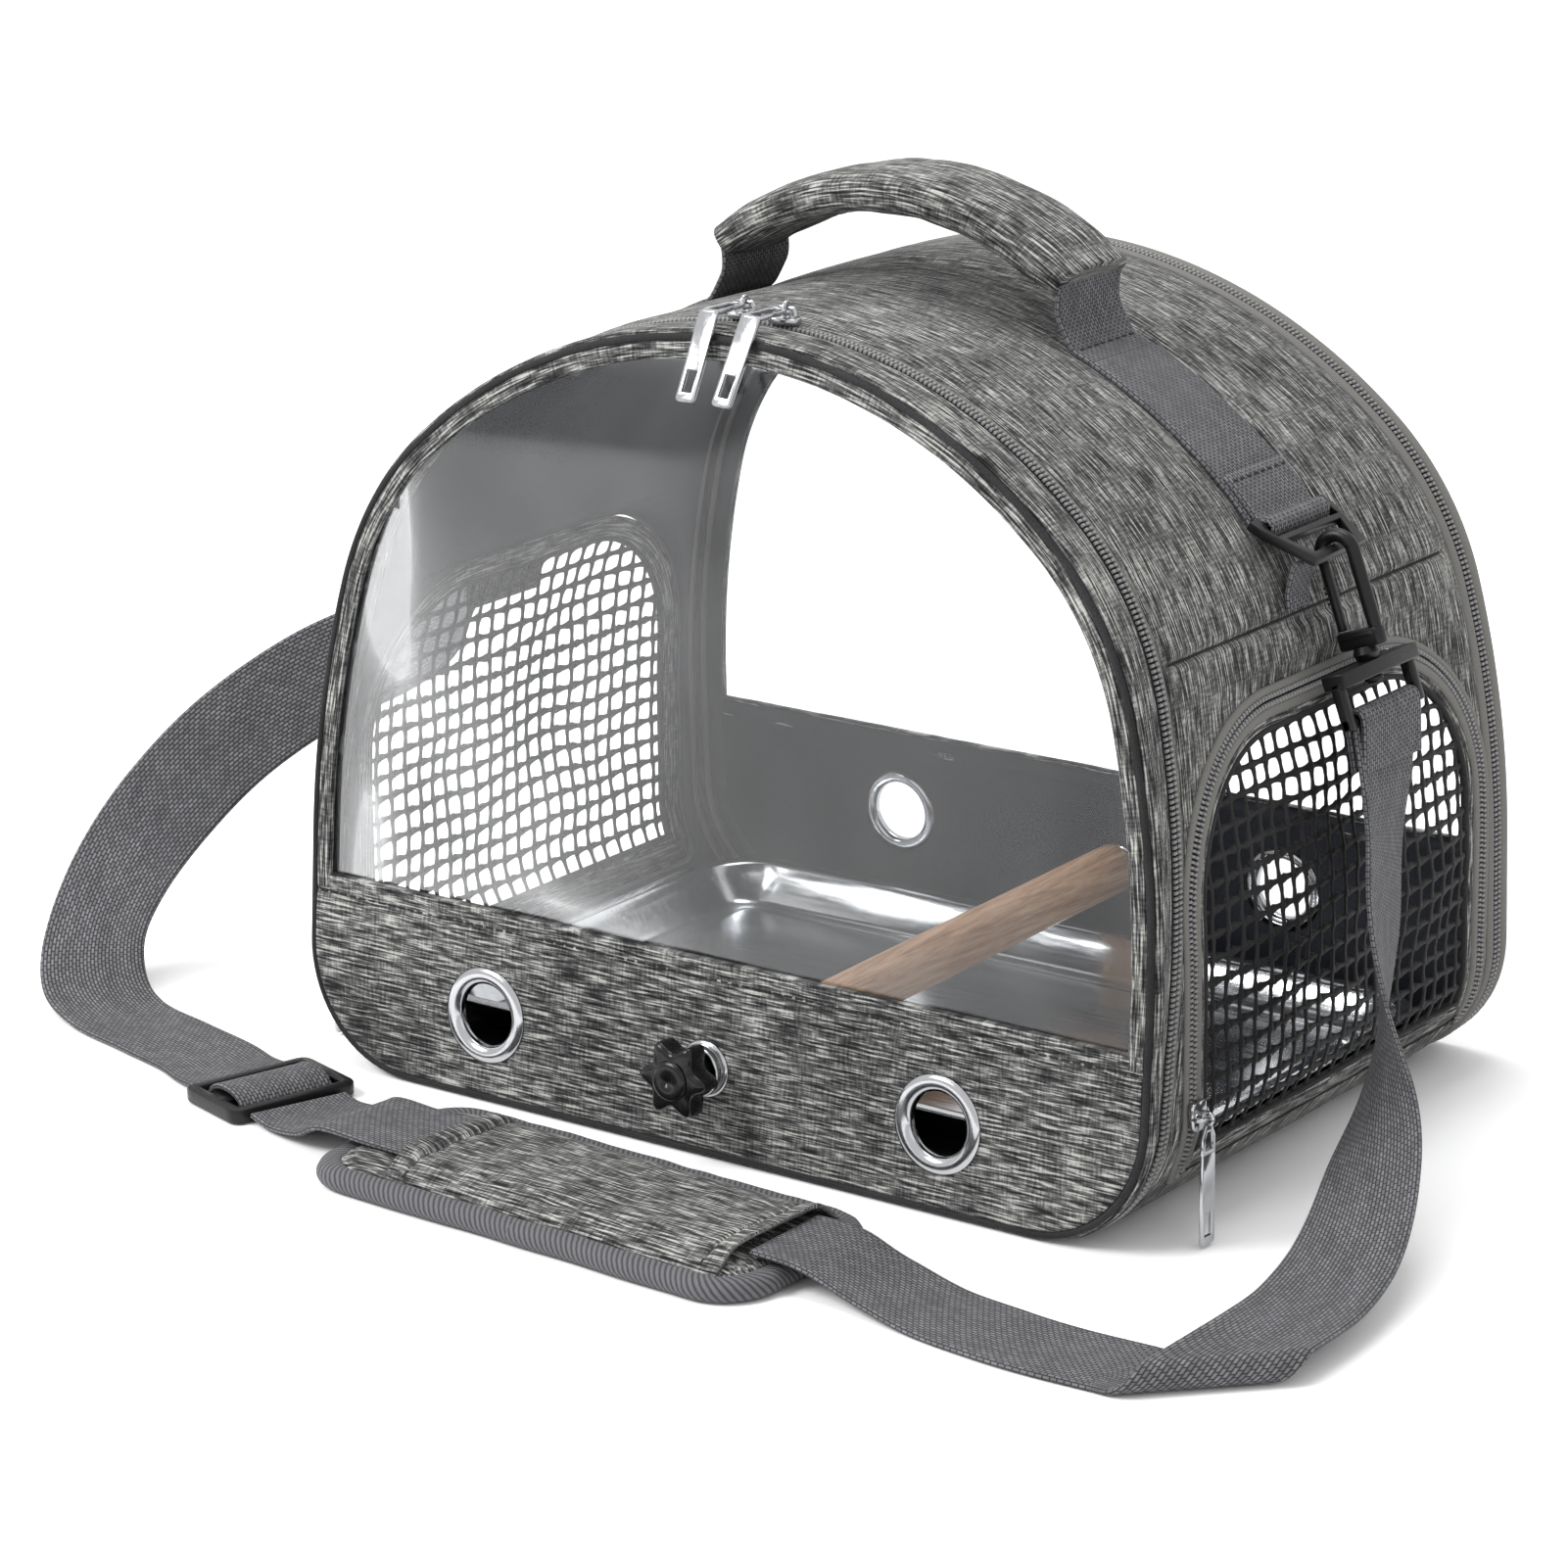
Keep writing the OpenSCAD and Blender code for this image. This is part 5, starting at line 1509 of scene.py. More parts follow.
for side, name in ((1, "right"), (-1, "left")):
    parts = []
    low = 20 + NET_INSET
    for n in range(-10, 11):
        y = n * NET_PITCH
        count = max(4, round((top_at(y) - low) / (NET_PITCH / 4)))
        parts.append(strand(side, [(ARCH_Y + y, low + (top_at(y) - low) * k / count) for k in range(count + 1)], n))
    z = low + NET_PITCH
    while z < 166 - NET_INSET - 1:
        half = half_width_at(z)
        count = max(4, round(2 * half / (NET_PITCH / 4)))
        parts.append(strand(side, [(ARCH_Y - half + 2 * half * k / count, z) for k in range(count + 1)],
            z / NET_PITCH + 1))
        z += NET_PITCH
    vertices, faces, uvs = joined(parts)
    net = piece(name + "_flap_netting", vertices, faces, name + "_flap", "net", NET_YARN, (name + "_flap_net",))
    outward(net)
    edge = [(7.9, 1.9), (7.9, 0.2), (8.4, -0.4), (9.6, -0.4), (10.1, 0.3), (10.1, 1.9)]
    strip(name + "_net_binding", arch_rings(edge, side), name + "_flap", "net", CORD, closed_path=True)
print("nets made")

# %% [markdown]
# ## Tray and floor
#
# The tray is pressed from one sheet: a flat rim, a sloping side and a floor with a raised field. One
# rounded rectangle is repeated at many insets and heights, down the inside and back up underneath.

# %% Tray and base board
def nested(width, depth, radius, levels, centre=(0, 0), steps=8):
    """A closed form of rounded rectangles: levels are (inset, height), top first and then underneath."""
    rings = []
    for inset, height in levels:
        r = max(radius - inset, 3.0)
        r = min(r, width / 2 - inset - 0.01, depth / 2 - inset - 0.01)
        flat = rounded(width - 2 * inset, depth - 2 * inset, r, steps)
        rings.append([(centre[0] + x, centre[1] + y, height) for x, y in flat])
    return strip_data(rings)


tray_levels = [
    (26, 9.1), (24.5, 8.9), (23, 8.1), (18, 8.0), (15.5, 8.5), (13.5, 9.9), (8.2, 17.6), (6.6, 20.4),
    (5.6, 21.3), (4.4, 21.6), (1.2, 21.6), (0.3, 21.45), (0, 21.1), (0.3, 20.7), (1.2, 20.7), (5.0, 20.6),
    (7.4, 17.2), (12.8, 9.3), (15.2, 7.5), (18, 7.2), (23, 7.2), (25, 8.1),
]
vertices, faces, uvs = nested(312, 194, 28, tray_levels, (0, 9))
tray = piece("tray_pan", vertices, faces, "tray", "steel", STEEL, ("tray",))
outward(tray)
board_levels = [(2.0, 6.9), (0.6, 6.7), (0, 6.1), (0, 4.8), (0.5, 4.3), (1.5, 4.1)]
vertices, faces, uvs = nested(280, 219, 8, board_levels, (0, -0.9))
outward(piece("base_board_cover", vertices, faces, "bag", "lining_cloth", LINING, ("base_board",)))
print("tray and base board made")

# %% [markdown]
# ## Handle
#
# Webbing is sewn along the top of the bag, and from its stitching it rises into a padded sleeve. The
# sleeve is a tube of heather cloth round foam. Its section is a soft rounded bar that puckers at the
# ends where the cloth is gathered.

# %% Anchor webbing and handle webbing
HANDLE_Y = 8.0


def top_point(x, off):
    """A point on the top of the bag, a distance outside it."""
    on_crown = abs(x) < CROWN_R * math.cos(math.radians(CROWN_A))
    centre = CROWN_C if on_crown else np.array([math.copysign(SHOULDER_C[0], x), SHOULDER_C[1]])
    radius = CROWN_R if on_crown else SHOULDER_R
    reach = np.array([x - centre[0], math.sqrt(radius**2 - (x - centre[0]) ** 2)])
    px, pz = centre + reach * (radius + off) / radius
    return np.array([px, HANDLE_Y, pz])


def across_ribbon(name, line, body, replaced=(), web_w=WEB_W, material=WEBBING):
    line = np.array(line, float)
    width = np.tile([0.0, 1.0, 0.0], (len(line), 1))
    return strip(name, ribbon_rings(line, width, web_w), body, "webbing", material, replaced)


RING_LOW = np.array([167.02, HANDLE_Y, 207.21])
RING_TOP = np.array([148.5, HANDLE_Y, 216.59])
stitch_parts = []
for side, name in ((1, "right"), (-1, "left")):
    line = [top_point(x, 1.8) for x in np.linspace(82, 146, 26)]
    anchor = across_ribbon("anchor_" + name, [p * (side, 1, 1) for p in line], "bag", ("handle_anchor_straps",))
    loop = [RING_TOP + (2.0, 0, 2.2), RING_TOP + (4.2, 0, 0.6), RING_TOP + (4.0, 0, -2.4), RING_TOP + (0.5, 0, -3.4)]
    turned = [top_point(x, 3.9) for x in np.linspace(131, 143, 7)]
    across_ribbon("anchor_fold_" + name, [p * (side, 1, 1) for p in turned + loop], "bag", web_w=WEB_W - 2)
    for x_place in (75.5, 133.2):
        base = top_point(x_place, 2.7 if x_place < 100 else 4.8)
        points = [base * (side, 1, 1) + (0, dy, 0) for dy in np.linspace(-15, 15, 9)]
        normal = unit(base - top_point(x_place, 0)) * (side, 1, 1)
        along = np.cross(normal, (0, 1, 0))
        above = [p + normal for p in points]
        beside = [p + along for p in points]
        stitch_parts.append(stitch_row(points, above, beside, 2.4, 1.0, 0.7))
    rise = smooth_line(
        [top_point(82, 1.8), top_point(78, 1.8), top_point(74, 2.2), (70.6, HANDLE_Y, 273.4), (68.9, HANDLE_Y, 277.5),
         (68.8, HANDLE_Y, 282.5), (70.0, HANDLE_Y, 290)], 5
    )
    obj = across_ribbon("handle_webbing_" + name, [p * (side, 1, 1) for p in rise], "bag", ("handle_webbing",))
    obj.parent = None
    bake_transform(obj)
vertices, faces, uvs = joined(stitch_parts)
outward(piece("anchor_stitches", vertices, faces, "bag", "webbing", THREAD, smooth=False))
print("handle webbing made")

# %% Padded grip
GRIP_HALF, GRIP_TOP, GRIP_T, GRIP_W, GRIP_DROP = 66.0, 318.0, 15.0, 43.0, 22.0
GRIP_TURN = math.atan(2 * GRIP_DROP / GRIP_HALF)


def grip_section(s):
    """One ring of the grip at s from -1 to 1 along it."""
    end = edge_step((abs(s) - 0.80) / 0.2)
    half_w = GRIP_W / 2 * (1 - 0.06 * end)
    half_t = GRIP_T / 2 * (1 - 0.16 * end)
    turn = s * GRIP_TURN
    ring = []
    for k in range(40):
        a = 2 * math.pi * k / 40
        c, q = math.cos(a), math.sin(a)
        y = half_w * math.copysign(abs(c) ** 0.55, c)
        off = half_t * math.copysign(abs(q) ** 0.62, q)
        soft = 0.8 * ripple(s * 66, y, off, 13, 31) + 0.5 * ripple(s * 66, y * 2, off, 6, 32) * (0.3 + end)
        scale = 1 + soft / 9
        off = GRIP_T / 2 + off * scale
        x = s * GRIP_HALF + math.sin(turn) * off
        z = GRIP_TOP - GRIP_T - GRIP_DROP * s * s + math.cos(turn) * off
        ring.append((x, HANDLE_Y + y * (1 + soft / 40), z))
    return ring


grip_rings = [grip_section(s) for s in np.linspace(-1, 1, 71)]
for s, order in ((-1, 0), (1, len(grip_rings) + 1)):
    centre = np.mean(grip_section(s), axis=0)
    grip_rings.insert(order, [tuple(centre + (np.array(p) - centre) * 0.82) for p in grip_section(s)])
grip = strip("grip_sleeve", grip_rings, "handle", "heather_cloth", HEATHER_ALONG, ("handle_grip",))
seam_points = [np.mean([grip_section(s)[k] for k in (29, 31)], axis=0) for s in np.linspace(-0.9, 0.9, 50)]
seam_above = [p - (0, 0, 1) for p in seam_points]
seam_beside = [p + (0, 1, 0) for p in seam_points]
brick_piece("grip_stitches", [stitch_row(seam_points, seam_above, seam_beside)], "handle", "heather_cloth", THREAD)
print("grip made:", len(grip.data.polygons), "faces")

# %% [markdown]
# ## Plastic hardware
#
# Rings, snap hooks and the adjuster are moulded in black acetal, with small radii on every edge. A flat
# plate with windows is cut by booleans and bevelled, and round bars are tubes carried along a line.

# %% Plates, bars and blocks
def plate(outline, holes, low, high, bevel, matrix):
    """A flat moulded or stamped plate with windows and soft edges."""
    made = helper_prism(outline, "y", low, high)
    for hole in holes:
        cut(made, helper_prism(hole, "y", low - 5, high + 5))
    apply_modifier(made, "BEVEL", width=bevel * MM, segments=2, limit_method="ANGLE", angle_limit=math.radians(35))
    flat = [(1000 * v.co.x, 1000 * v.co.z, 1000 * v.co.y) for v in made.data.vertices]
    faces = [tuple(p.vertices) for p in made.data.polygons]
    bpy.data.objects.remove(made)
    return moved(matrix, flat), faces, [(0, 0)] * sum(len(f) for f in faces)


def bar(line, radius, sides=14, squash_by=1.0):
    """A round bar along a line."""
    line = np.array(line, float)
    rings = []
    across = None
    for i, at in enumerate(line):
        forward = unit(line[min(i + 1, len(line) - 1)] - line[max(i - 1, 0)])
        if across is None:
            across = unit(np.cross(forward, (0.3, 1, 0.2)))
        across = unit(across - (across @ forward) * forward)
        other = np.cross(forward, across)
        shrink = 0.8 if i in (0, len(line) - 1) else 1.0
        rings.append(
            [at + radius * shrink * (across * math.cos(a) + other * math.sin(a) * squash_by)
             for a in (2 * math.pi * k / sides for k in range(sides))]
        )
    return strip_data(rings)


def block(size, place, bevel=0.6, radius=1.2):
    """A moulded block with rounded corners and soft edges."""
    x, y, z = size
    levels = [(bevel, z), (bevel * 0.3, z - bevel * 0.3), (0, z - bevel), (0, bevel),
        (bevel * 0.3, bevel * 0.3), (bevel, 0)]
    vertices, faces, uvs = nested_small(x, y, radius, levels)
    return [(a + place[0], b + place[1], c + place[2]) for a, b, c in vertices], faces, uvs


def nested_small(width, depth, radius, levels):
    rings = []
    for inset, height in levels:
        w, d = width - 2 * inset, depth - 2 * inset
        flat = rounded(w, d, min(radius, w / 2 - 0.01, d / 2 - 0.01), 3)
        rings.append([(x, y, height) for x, y in flat])
    return strip_data(rings)


def placed(matrix, parts):
    return [(moved(matrix, v), f, u) for v, f, u in parts]


def mirror_if(side):
    return Matrix.Scale(-1, 4, (1, 0, 0)) if side < 0 else Matrix.Identity(4)


def hard_piece(name, parts, body, slot, material, replaced=()):
    vertices, faces, uvs = joined(parts)
    obj = piece(name, vertices, faces, body, slot, material, replaced, smooth=True)
    outward(obj)
    bpy.context.view_layer.objects.active = obj
    obj.select_set(True)
    obj.data.set_sharp_from_angle(angle=math.radians(40))
    return obj


print("hardware tools ready")

# %% Rings, tabs and hooks
ring_run = RING_LOW - RING_TOP
ring_len = float(np.linalg.norm(ring_run))
ring_pitch = math.atan2(-ring_run[2], ring_run[0])
ring_outline = [
    (-2.4, -23), (2.5, -23), (ring_len + 1, -16), (ring_len + 1, 16), (2.5, 23), (-2.4, 23),
]
ring_slot = [(2.2, -19.5), (7.2, -19.5), (7.2, 19.5), (2.2, 19.5)]
ring_window = [(9.5, -17), (ring_len - 2.4, -12.5), (ring_len - 2.4, 12.5), (9.5, 17)]
HOOK_LEAN = math.radians(20)
HOOK_C = (166.81, HANDLE_Y, 206.39)
for side, name in ((1, "right"), (-1, "left")):
    flip = mirror_if(side)
    at_ring = flip @ Matrix.Translation(RING_TOP) @ Matrix.Rotation(ring_pitch, 4, "Y")
    ring_parts = [plate(ring_outline, [ring_slot, ring_window], -1.6, 1.6, 0.5, at_ring)]
    hard_piece("strap_ring_" + name, ring_parts, "bag", "black_plastic", ACETAL, ("strap_rings",))
    def on_shoulder(z, off):
        return np.array([SHOULDER_C[0] + math.sqrt((SHOULDER_R + off) ** 2 - (z - SHOULDER_C[1]) ** 2), -4.0, z])

    head = RING_LOW + (-6.2, -12, -3.0)
    tab = smooth_line([on_shoulder(189.6, 1.0), on_shoulder(193, 1.9), on_shoulder(196.5, 3.4), head,
        head + (1.4, 0, 1.6)], 4)
    across_ribbon("ring_tab_" + name, [p * (side, 1, 1) for p in tab], "bag", ("ring_tabs",), web_w=14)

    at_hook = flip @ Matrix.Translation(HOOK_C) @ Matrix.Rotation(-HOOK_LEAN, 4, "Y")
    spine = [(6.2, 0, z) for z in np.linspace(-29, 0, 7)]
    spine += [(6.2 * math.cos(a), 0, 6.2 * math.sin(a)) for a in np.linspace(0.2, math.pi, 14)]
    spine += [(-6.2, 0, -0.6), (-6.2, 0, -1.1)]
    hook = [
        bar(spine, 2.4),
        block((17.4, 5.4, 6), (0, 0, -32), 0.7, 2.0),
        block((14.6, 6.4, 1.4), (0, 0, -28.4), 0.4, 2.4),
        bar([(0, 0, -36.2), (0, 0, -34), (0, 0, -31.6)], 4.6, 20),
        bar([(0, 0, -43.6), (0, 0, -40), (0, 0, -35)], 2.0),
        bar([(0, 0, -43.9), (0, 0, -43.2), (0, 0, -42.2), (0, 0, -41.7)], 3.3, 20),
    ]
    hard_piece("snap_hook_" + name, placed(at_hook, hook), "hook_" + name, "black_plastic", ACETAL, ("hook_" + name,))
    gate = [block((3.2, 3.4, 24), (-6.2, 0, -25.4), 0.5, 1.2)]
    gate += [block((1.6, 3.8, 0.8), (-7.5, 0, z), 0.25, 0.4) for z in (-16, -14.2, -12.4, -10.6)]
    hard_piece("snap_gate_" + name, placed(at_hook, gate), "gate_" + name, "black_plastic", ACETAL, ("gate_" + name,))
    around_hole = [tuple(polar((0, 0), 2.3, 360 * k / 20)) for k in range(20)]
    base = [(-4.5, -24), (4.5, -24), (4.5, 24), (-4.5, 24)]
    swivel = [plate(base, [around_hole], -41.4, -36.4, 0.7, Matrix.Identity(4))]
    swivel += [block((4.4, 4, 16), (0, s * 22, -55.4), 0.5, 1.2) for s in (-1, 1)]
    swivel.append(bar([(0, -24, -53.4), (0, -12, -53.4), (0, 12, -53.4), (0, 24, -53.4)], 2.0))
    hard_piece("swivel_base_" + name, placed(at_hook, swivel), "bag", "black_plastic", ACETAL, ("swivel_" + name,))
    wrap = [(189.0, 139), (188.6, 147), (188.3, 154.5), (187.4, 158.4), (185.1, 159.7), (182.6, 158.4),
        (182.0, 154.5), (183.4, 147), (184.9, 139)]
    wrap_line = smooth_line([(side * x, HANDLE_Y, z) for x, z in wrap], 4)
    across_ribbon("strap_wrap_" + name, wrap_line, "bag", web_w=WEB_W - 1)
print("rings and hooks made")

# %% [markdown]
# ## Adjuster
#
# The three-bar adjuster is a rounded plate with two slots. The webbing comes up through one slot,
# passes over the middle bar and goes down through the other, so a short ribbon lies on top of it.

# %% Strap adjuster
def even_outline(width, depth, radius, step):
    """A rounded rectangle about the origin, evenly sampled, with outward directions."""
    w, d = width / 2, depth / 2
    half = level_run(0, w - radius, step, lambda x: (x, -d), (0, -1))
    half += arc((w - radius, radius - d), radius, -90, 0, step)
    half += level_run(radius - d, d - radius, step, lambda y: (w, y), (1, 0))
    half += arc((w - radius, d - radius), radius, 0, 90, step)
    half += level_run(w - radius, 0, step, lambda x: (x, d), (0, 1))
    return mirrored(half + [(np.array([0.0, d]), np.array([0.0, 1.0]))])


at_adjuster = Matrix.Translation((-158, -159, 3.2)) @ Matrix.Rotation(math.radians(-17), 4, "Z")
slots = [
    [(x - 4, -20.5), (x + 4, -20.5), (x + 4, 20.5), (x - 4, 20.5)] for x in (-9, 9)
]
corners = [tuple(p) for p in even_outline(34, 50, 4, 2.5)[0]]
hard_piece(
    "strap_adjuster_frame", [plate(corners, slots, -2.6, 2.6, 0.8, at_adjuster)], "bag", "black_plastic", ACETAL,
    ("strap_adjuster",),
)
over_bar = [(-15, 0, -2.2), (-11.5, 0, -0.6), (-8.6, 0, 2.6), (-4.5, 0, 4.3), (0, 0, 4.7), (4.5, 0, 4.3),
    (8.6, 0, 2.6), (11.5, 0, -0.6), (15, 0, -2.2)]
over_line = np.array(moved(at_adjuster, smooth_line(over_bar, 4)))
over_width = np.tile(np.array(at_adjuster.to_3x3() @ Vector((0, 1, 0))), (len(over_line), 1))
strip("adjuster_webbing", ribbon_rings(over_line, over_width, WEB_W - 1), "bag", "webbing", WEBBING)
print("adjuster made")

# %% [markdown]
# ## Shoulder pad
#
# The pad is foam between two cloths, closed round its edge by a twill tape, and it is thin at the tape
# and full in the middle. Over it lies a heather sleeve that the strap runs through. Both could be
# inflated by a cloth simulation; drawn from listed sections they keep their place under the strap, and
# their small wrinkles come from two sizes of noise that fade out where a seam holds the cloth.

# %% Shoulder pad and sleeve
at_pad = Matrix.Translation((-2, -181, 0.4)) @ Matrix.Rotation(math.radians(-3), 4, "Z")
PAD_LEVELS = [
    (19.6, 9.0), (16, 8.8), (13, 8.4), (10.5, 7.7), (8.2, 6.6), (7.2, 5.6), (6.6, 5.9), (5.0, 6.2), (2.8, 6.1),
    (1.1, 5.3), (0.2, 4.0), (0, 2.9), (0.4, 1.6), (1.6, 0.5), (4, 0.1), (9, 0), (19.6, 0),
]
pad_points, pad_out = even_outline(190, 78, 20, 3.0)


def pad_ring(inset, height):
    ring = []
    for p, d in zip(pad_points, pad_out):
        x, y = p - inset * d
        soft = edge_step(height / 5) * (0.7 * ripple(x, y, height, 16, 41) + 0.35 * ripple(x * 2, y * 2, height,
            11, 42))
        out_by = 0.9 * ripple(x, y, 0, 30, 43) * edge_step((10 - inset) / 10)
        ring.append((x + d[0] * out_by, y + d[1] * out_by, max(0, height + soft)))
    return ring


vertices, faces, uvs = strip_data([pad_ring(*level) for level in PAD_LEVELS])
pad = piece("shoulder_pad_cushion", moved(at_pad, vertices), faces, "bag", "webbing", HEATHER_LEVEL, ("shoulder_pad",))
outward(pad)
edge_rings = []
for p, d in zip(pad_points, pad_out):
    out_by = 0.9 * ripple(p[0], p[1], 0, 30, 43)
    ring = []
    for inset, height in ((8.0, 6.4), (7.0, 7.0), (5.0, 7.2), (2.4, 7.0), (0.6, 6.0), (-0.5, 4.2), (-0.6, 2.6),
        (0.2, 1.0), (1.6, 0.1), (6, 0.0), (6, 1.5), (8.0, 5.2)):
        x, y = p - (inset - out_by) * d
        lift = 0.5 * ripple(p[0], p[1], inset, 9, 44) * edge_step(height / 4)
        ring.append((x, y, max(0, height + lift)))
    edge_rings.append(ring)
vertices, faces, uvs = strip_data(edge_rings, closed_path=True)
binding = piece("shoulder_pad_binding", moved(at_pad, vertices), faces, "bag", "webbing", BINDING, uvs=uvs)
outward(binding)

SLEEVE_HALF = 71.0
SLEEVE_SECTION = [(-31.5, 5.9), (-30.5, 8.0), (-27.5, 9.9), (-23.5, 11.7), (-19.5, 12.9), (-13, 13.3),
    (-6, 13.5), (0, 13.6)]
SLEEVE_SECTION += [(-y, z) for y, z in reversed(SLEEVE_SECTION[:-1])]
dense = smooth_line([(y, z, 0) for y, z in SLEEVE_SECTION], 3)[:, :2]
at_sleeve = at_pad @ Matrix.Translation((10, 0, 0))


def sleeve_ring(x):
    end = SLEEVE_HALF - abs(x)
    hem = 0.75 * edge_step((7.5 - end) / 1.5) - 0.9 * math.exp(-(((end - 7.6) / 0.9) ** 2))
    outer, inner = [], []
    for y, z in dense:
        calm = edge_step((31 - abs(y)) / 9)
        waves = 0.75 * ripple(x * 0.5, y, 3, 12, 51) + 0.4 * ripple(x, y, 9, 7, 52)
        waves += 0.8 * ripple(x, y * 0.3, 4, 9, 53) * math.exp(-end / 14)
        height = z + calm * (waves + hem) + 0.8 * calm * edge_step((10 - end) / 10)
        outer.append((x, y, height))
        inner.append((x, y * 0.97, max(height - 1.3, 4.6)))
    return outer + inner[::-1]


sleeve_stations = [-70.9, -70.2, *np.linspace(-69, -60, 9), *np.linspace(-58, 58, 59), *np.linspace(60, 69, 9),
    70.2, 70.9]
vertices, faces, uvs = strip_data([sleeve_ring(x) for x in sleeve_stations])
sleeve = piece("pad_sleeve_cloth", moved(at_sleeve, vertices), faces, "bag", "heather_cloth", HEATHER_ALONG,
    ("pad_sleeve",), uvs)
outward(sleeve)
sleeve_stitches = []
for x in (-63.4, 63.4):
    ring = sleeve_ring(x)[: len(dense)]
    line = np.array(moved(at_sleeve, [(a, b, c) for a, b, c in ring if abs(b) < 29]))
    sleeve_stitches.append(stitch_row(line, line + (0, 0, 1), line + (1, 0, 0), 3.2, 1.6, 0.9))
for s in (-1, 1):
    line = np.array(moved(at_sleeve, [(x, s * 30.3, sleeve_ring(x)[2][2] - 0.1) for x in np.linspace(-69, 69, 60)]))
    sleeve_stitches.append(stitch_row(line, line + (0, s * 0.6, 0.8), line + (0, 1, 0), 3.2, 1.6, 0.7))
brick_piece("pad_sleeve_stitches", sleeve_stitches, "bag", "heather_cloth", THREAD)
print("pad made")

# %% [markdown]
# ## Sliders and pulls
#
# A slider is a tapered shell with a bridge over it. Its pull is one stamped plate with two windows: the
# upper one hangs on the bridge, and the lower one leaves a thin frame to hold. Both are chromed.

# %% Sliders and pulls
BRIDGE_Z = 6.2


def slider_parts(turn):
    outline = [(-4.3, 4.0), (-3.4, 5.0), (-1.2, 4.9), (0, 4.2), (1.2, 4.9), (3.4, 5.0), (4.3, 4.0), (4.1, 0.5),
        (3.1, -3.6), (2.0, -5.0), (-2.0, -5.0), (-3.1, -3.6), (-4.1, 0.5)]
    if turn:
        spin = Matrix.Rotation(math.radians(turn), 4, "Z")
    else:
        spin = Matrix.Identity(4)
    shell = plate(outline, [], 0.9, 3.3, 0.55, Matrix.Identity(4))
    boss = plate([tuple(p) for p in even_outline(3.4, 7.6, 1.6, 0.8)[0]], [], 3.0, 3.9, 0.3, spin)
    arch = [(0, -3.4, 2.6), (0, -3.5, 4.4), (0, -3.1, 5.7), (0, -2.2, 6.25), (0, 2.2, 6.25), (0, 3.1, 5.7),
        (0, 3.5, 4.4), (0, 3.4, 2.6)]
    bridge = bar(smooth_line(arch, 3), 0.8, 12)
    return [shell, boss] + placed(spin, [bridge])


def pull_parts(link_l, bend):
    """One plate from the hinge along -X, bent at the end of its upper window where it has to be."""
    ring = [(1.95 * math.cos(a) , 0, 1.95 * math.sin(a)) for a in (2 * math.pi * k / 24 for k in range(25))]
    eye = bar([(x, 0, z) for x, _, z in ring], 0.62, 10)
    neck = [(-1.9, -1.5), (-1.9, 1.5), (-3.2, 2.2), (-6.2, 3.7), (-link_l - 0.3, 3.7), (-link_l - 0.3, -3.7),
        (-6.2, -3.7), (-3.2, -2.2)]
    upper = [(-link_l + 1.6, -2.25), (-link_l + 1.6, 2.25), (-6.6, 2.25), (-4.4, 1.2), (-4.4, -1.2), (-6.6, -2.25)]
    flat = [(0.3, -3.7), (0.3, 3.7), (-30.2, 3.7), (-31, 2.9), (-31, -2.9), (-30.2, -3.7)]
    lower = [(-20, -2.2), (-20, 2.2), (-28, 2.2), (-28, -2.2)]
    hang = Matrix.Translation((-link_l, 0, 0)) @ Matrix.Rotation(math.radians(-bend), 4, "Y")
    parts = [eye, plate(neck, [upper], -0.7, 0.7, 0.22, Matrix.Identity(4)),
        plate(flat, [lower], -0.7, 0.7, 0.22, hang)]
    if bend:
        parts.append(bar([(-link_l, y, 0) for y in (-3.6, -1.2, 1.2, 3.6)], 0.78, 14))
    return parts


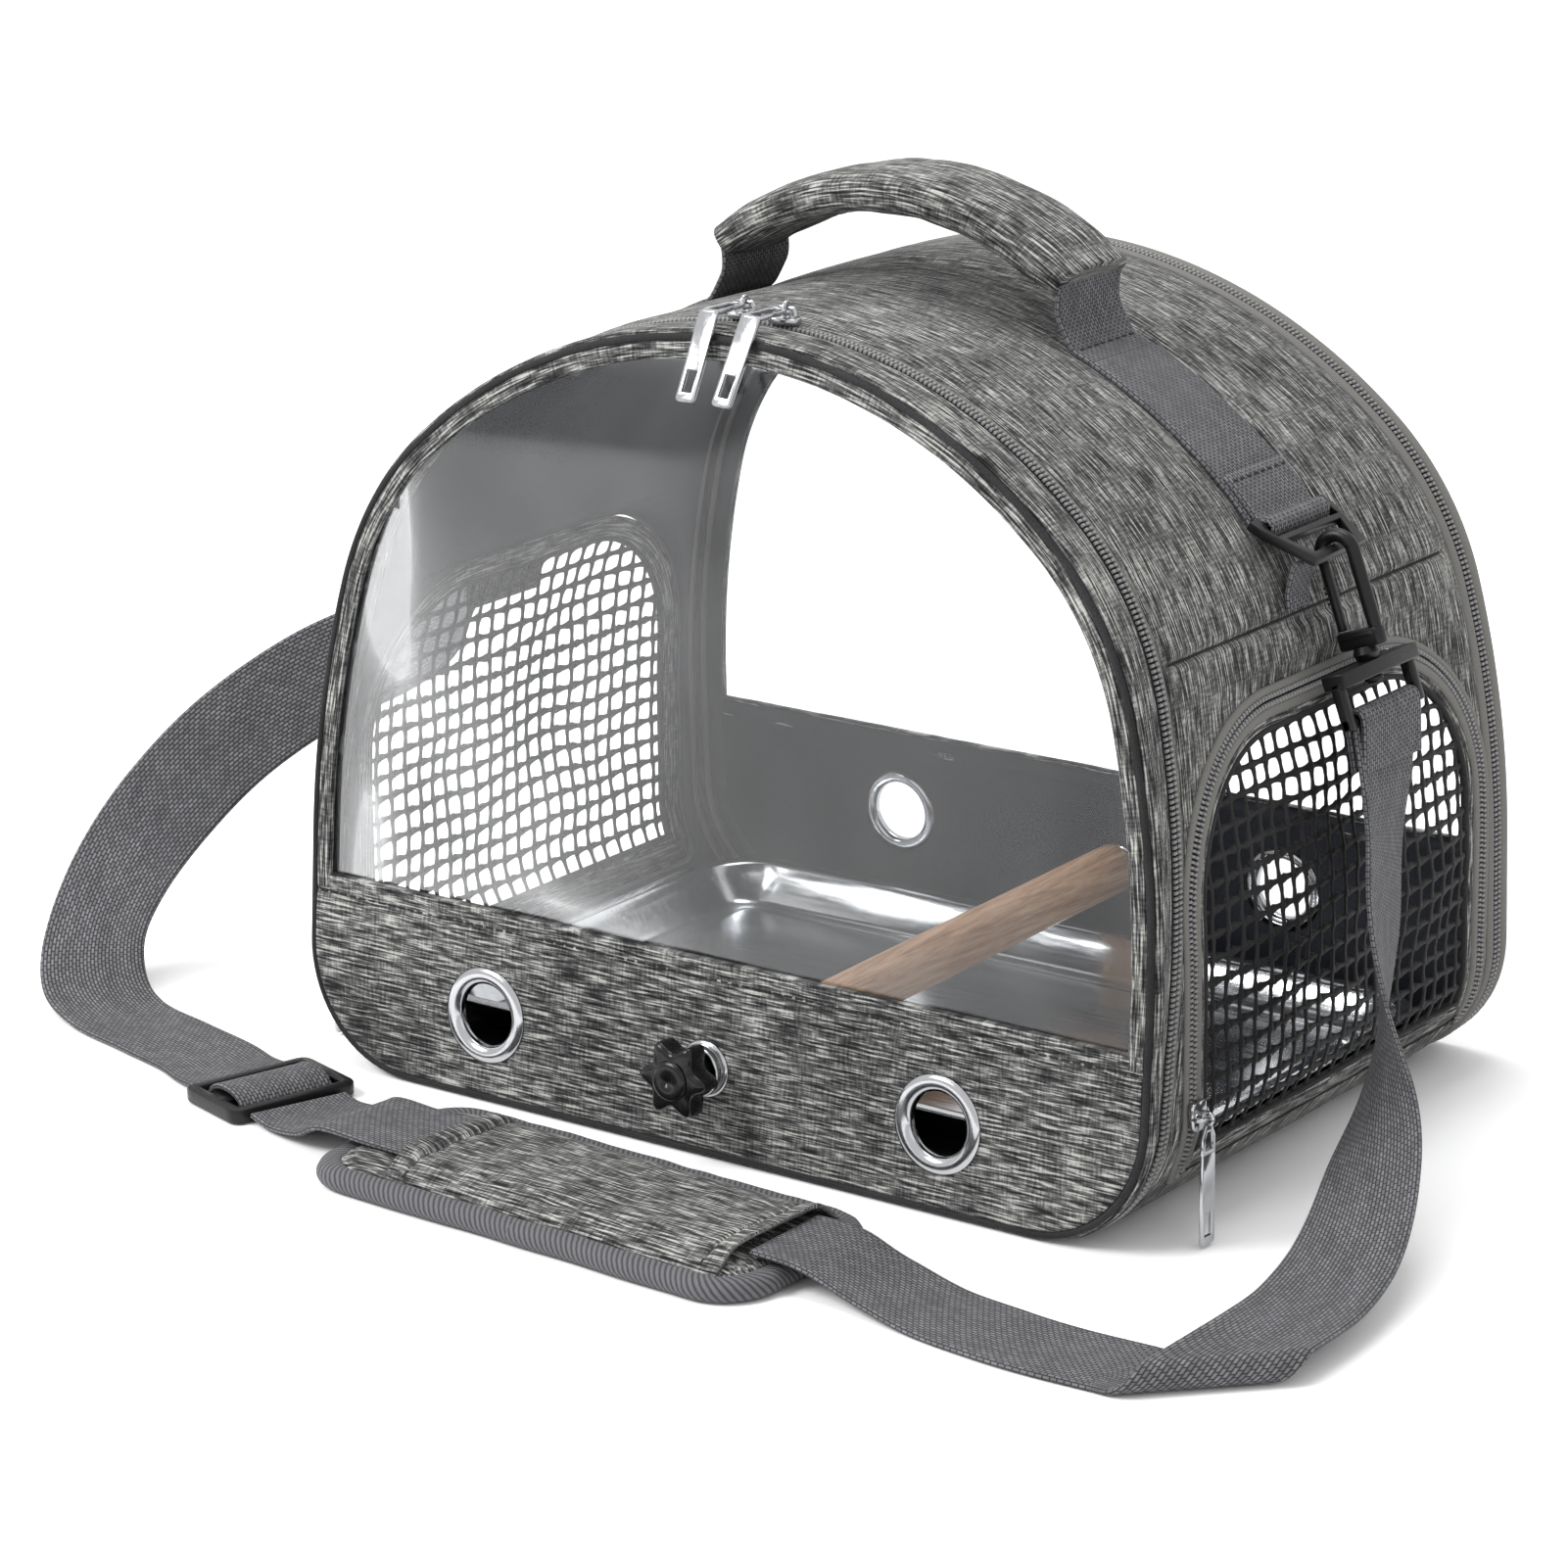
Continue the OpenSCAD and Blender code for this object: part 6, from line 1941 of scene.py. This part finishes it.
def front_zip_place(turn):
    z = CROWN_C[1] + (CROWN_R + 0.5) * math.cos(math.radians(turn))
    return (
        Matrix.Translation((CROWN_C[0], zip_y(0, z), CROWN_C[1]))
        @ Matrix.Rotation(math.radians(turn), 4, "Y")
        @ Matrix.Translation((0, 0, CROWN_R))
        @ Matrix.Rotation(math.pi / 2, 4, "Z")
    )


def turned_axes(rx, rz):
    return Matrix.Rotation(math.radians(rz), 4, "Z") @ Matrix.Rotation(math.radians(rx), 4, "X")


side_pulls = {
    "front_{}_left": (front_zip_place(-2.4), 0, 19.5, 60),
    "front_{}_right": (front_zip_place(2.4), 0, 19.5, 60),
    "right_{}": (Matrix.Translation((175.6, -93, 44)) @ turned_axes(90, 90), 90, 12, 0),
    "left_{}": (Matrix.Scale(-1, 4, (1, 0, 0)) @ Matrix.Translation((175.6, -93, 44)) @ turned_axes(90, 90), 90,
        12, 0),
    "rear_{}": (Matrix.Translation((-175, rear_y(11, 60), 60)) @ turned_axes(90, -90), 90, 12, 0),
}
for name, (matrix, turn, link_l, bend) in side_pulls.items():
    slider_name, pull_name = name.format("slider"), name.format("pull")
    hard_piece(
        slider_name + "_shell", placed(matrix, slider_parts(turn)), slider_name, "chrome", CHROME, (slider_name,)
    )
    hinge = matrix @ Matrix.Translation((0, 0, BRIDGE_Z)) @ Matrix.Rotation(math.radians(turn), 4, "Z")
    hard_piece(pull_name + "_plate", placed(hinge, pull_parts(link_l, bend)), pull_name, "chrome", CHROME,
        (pull_name,))
print("sliders and pulls made")

# %% Gusset seam: a dark line painted along its crease as shade
for side, name in ((1, "right"), (-1, "left")):
    a = math.degrees(math.asin((SEAM_Z - SHOULDER_C[1]) / SHOULDER_R))
    place, out = polar(SHOULDER_C, SHOULDER_R, a), polar((0, 0), 1, a)
    low, high = body_edges(SEAM_Z, SEAM_Z)
    line = []
    for y in np.arange(low + 1.5, high - 1.5, 3.0):
        rise = swell(place[0], y, SEAM_Z, low, high) + 0.1
        line.append((side * (place[0] + out[0] * rise), y, SEAM_Z + out[1] * rise))
    # A continuous dark tube in thread colour lies in the seam's dip: painted shade of the crease, not stitches.
    vertices, faces, uvs = bar(line, 0.45, 8)
    outward(piece("gusset_seam_" + name, vertices, faces, "bag", "heather_cloth", THREAD))
print("seam made")
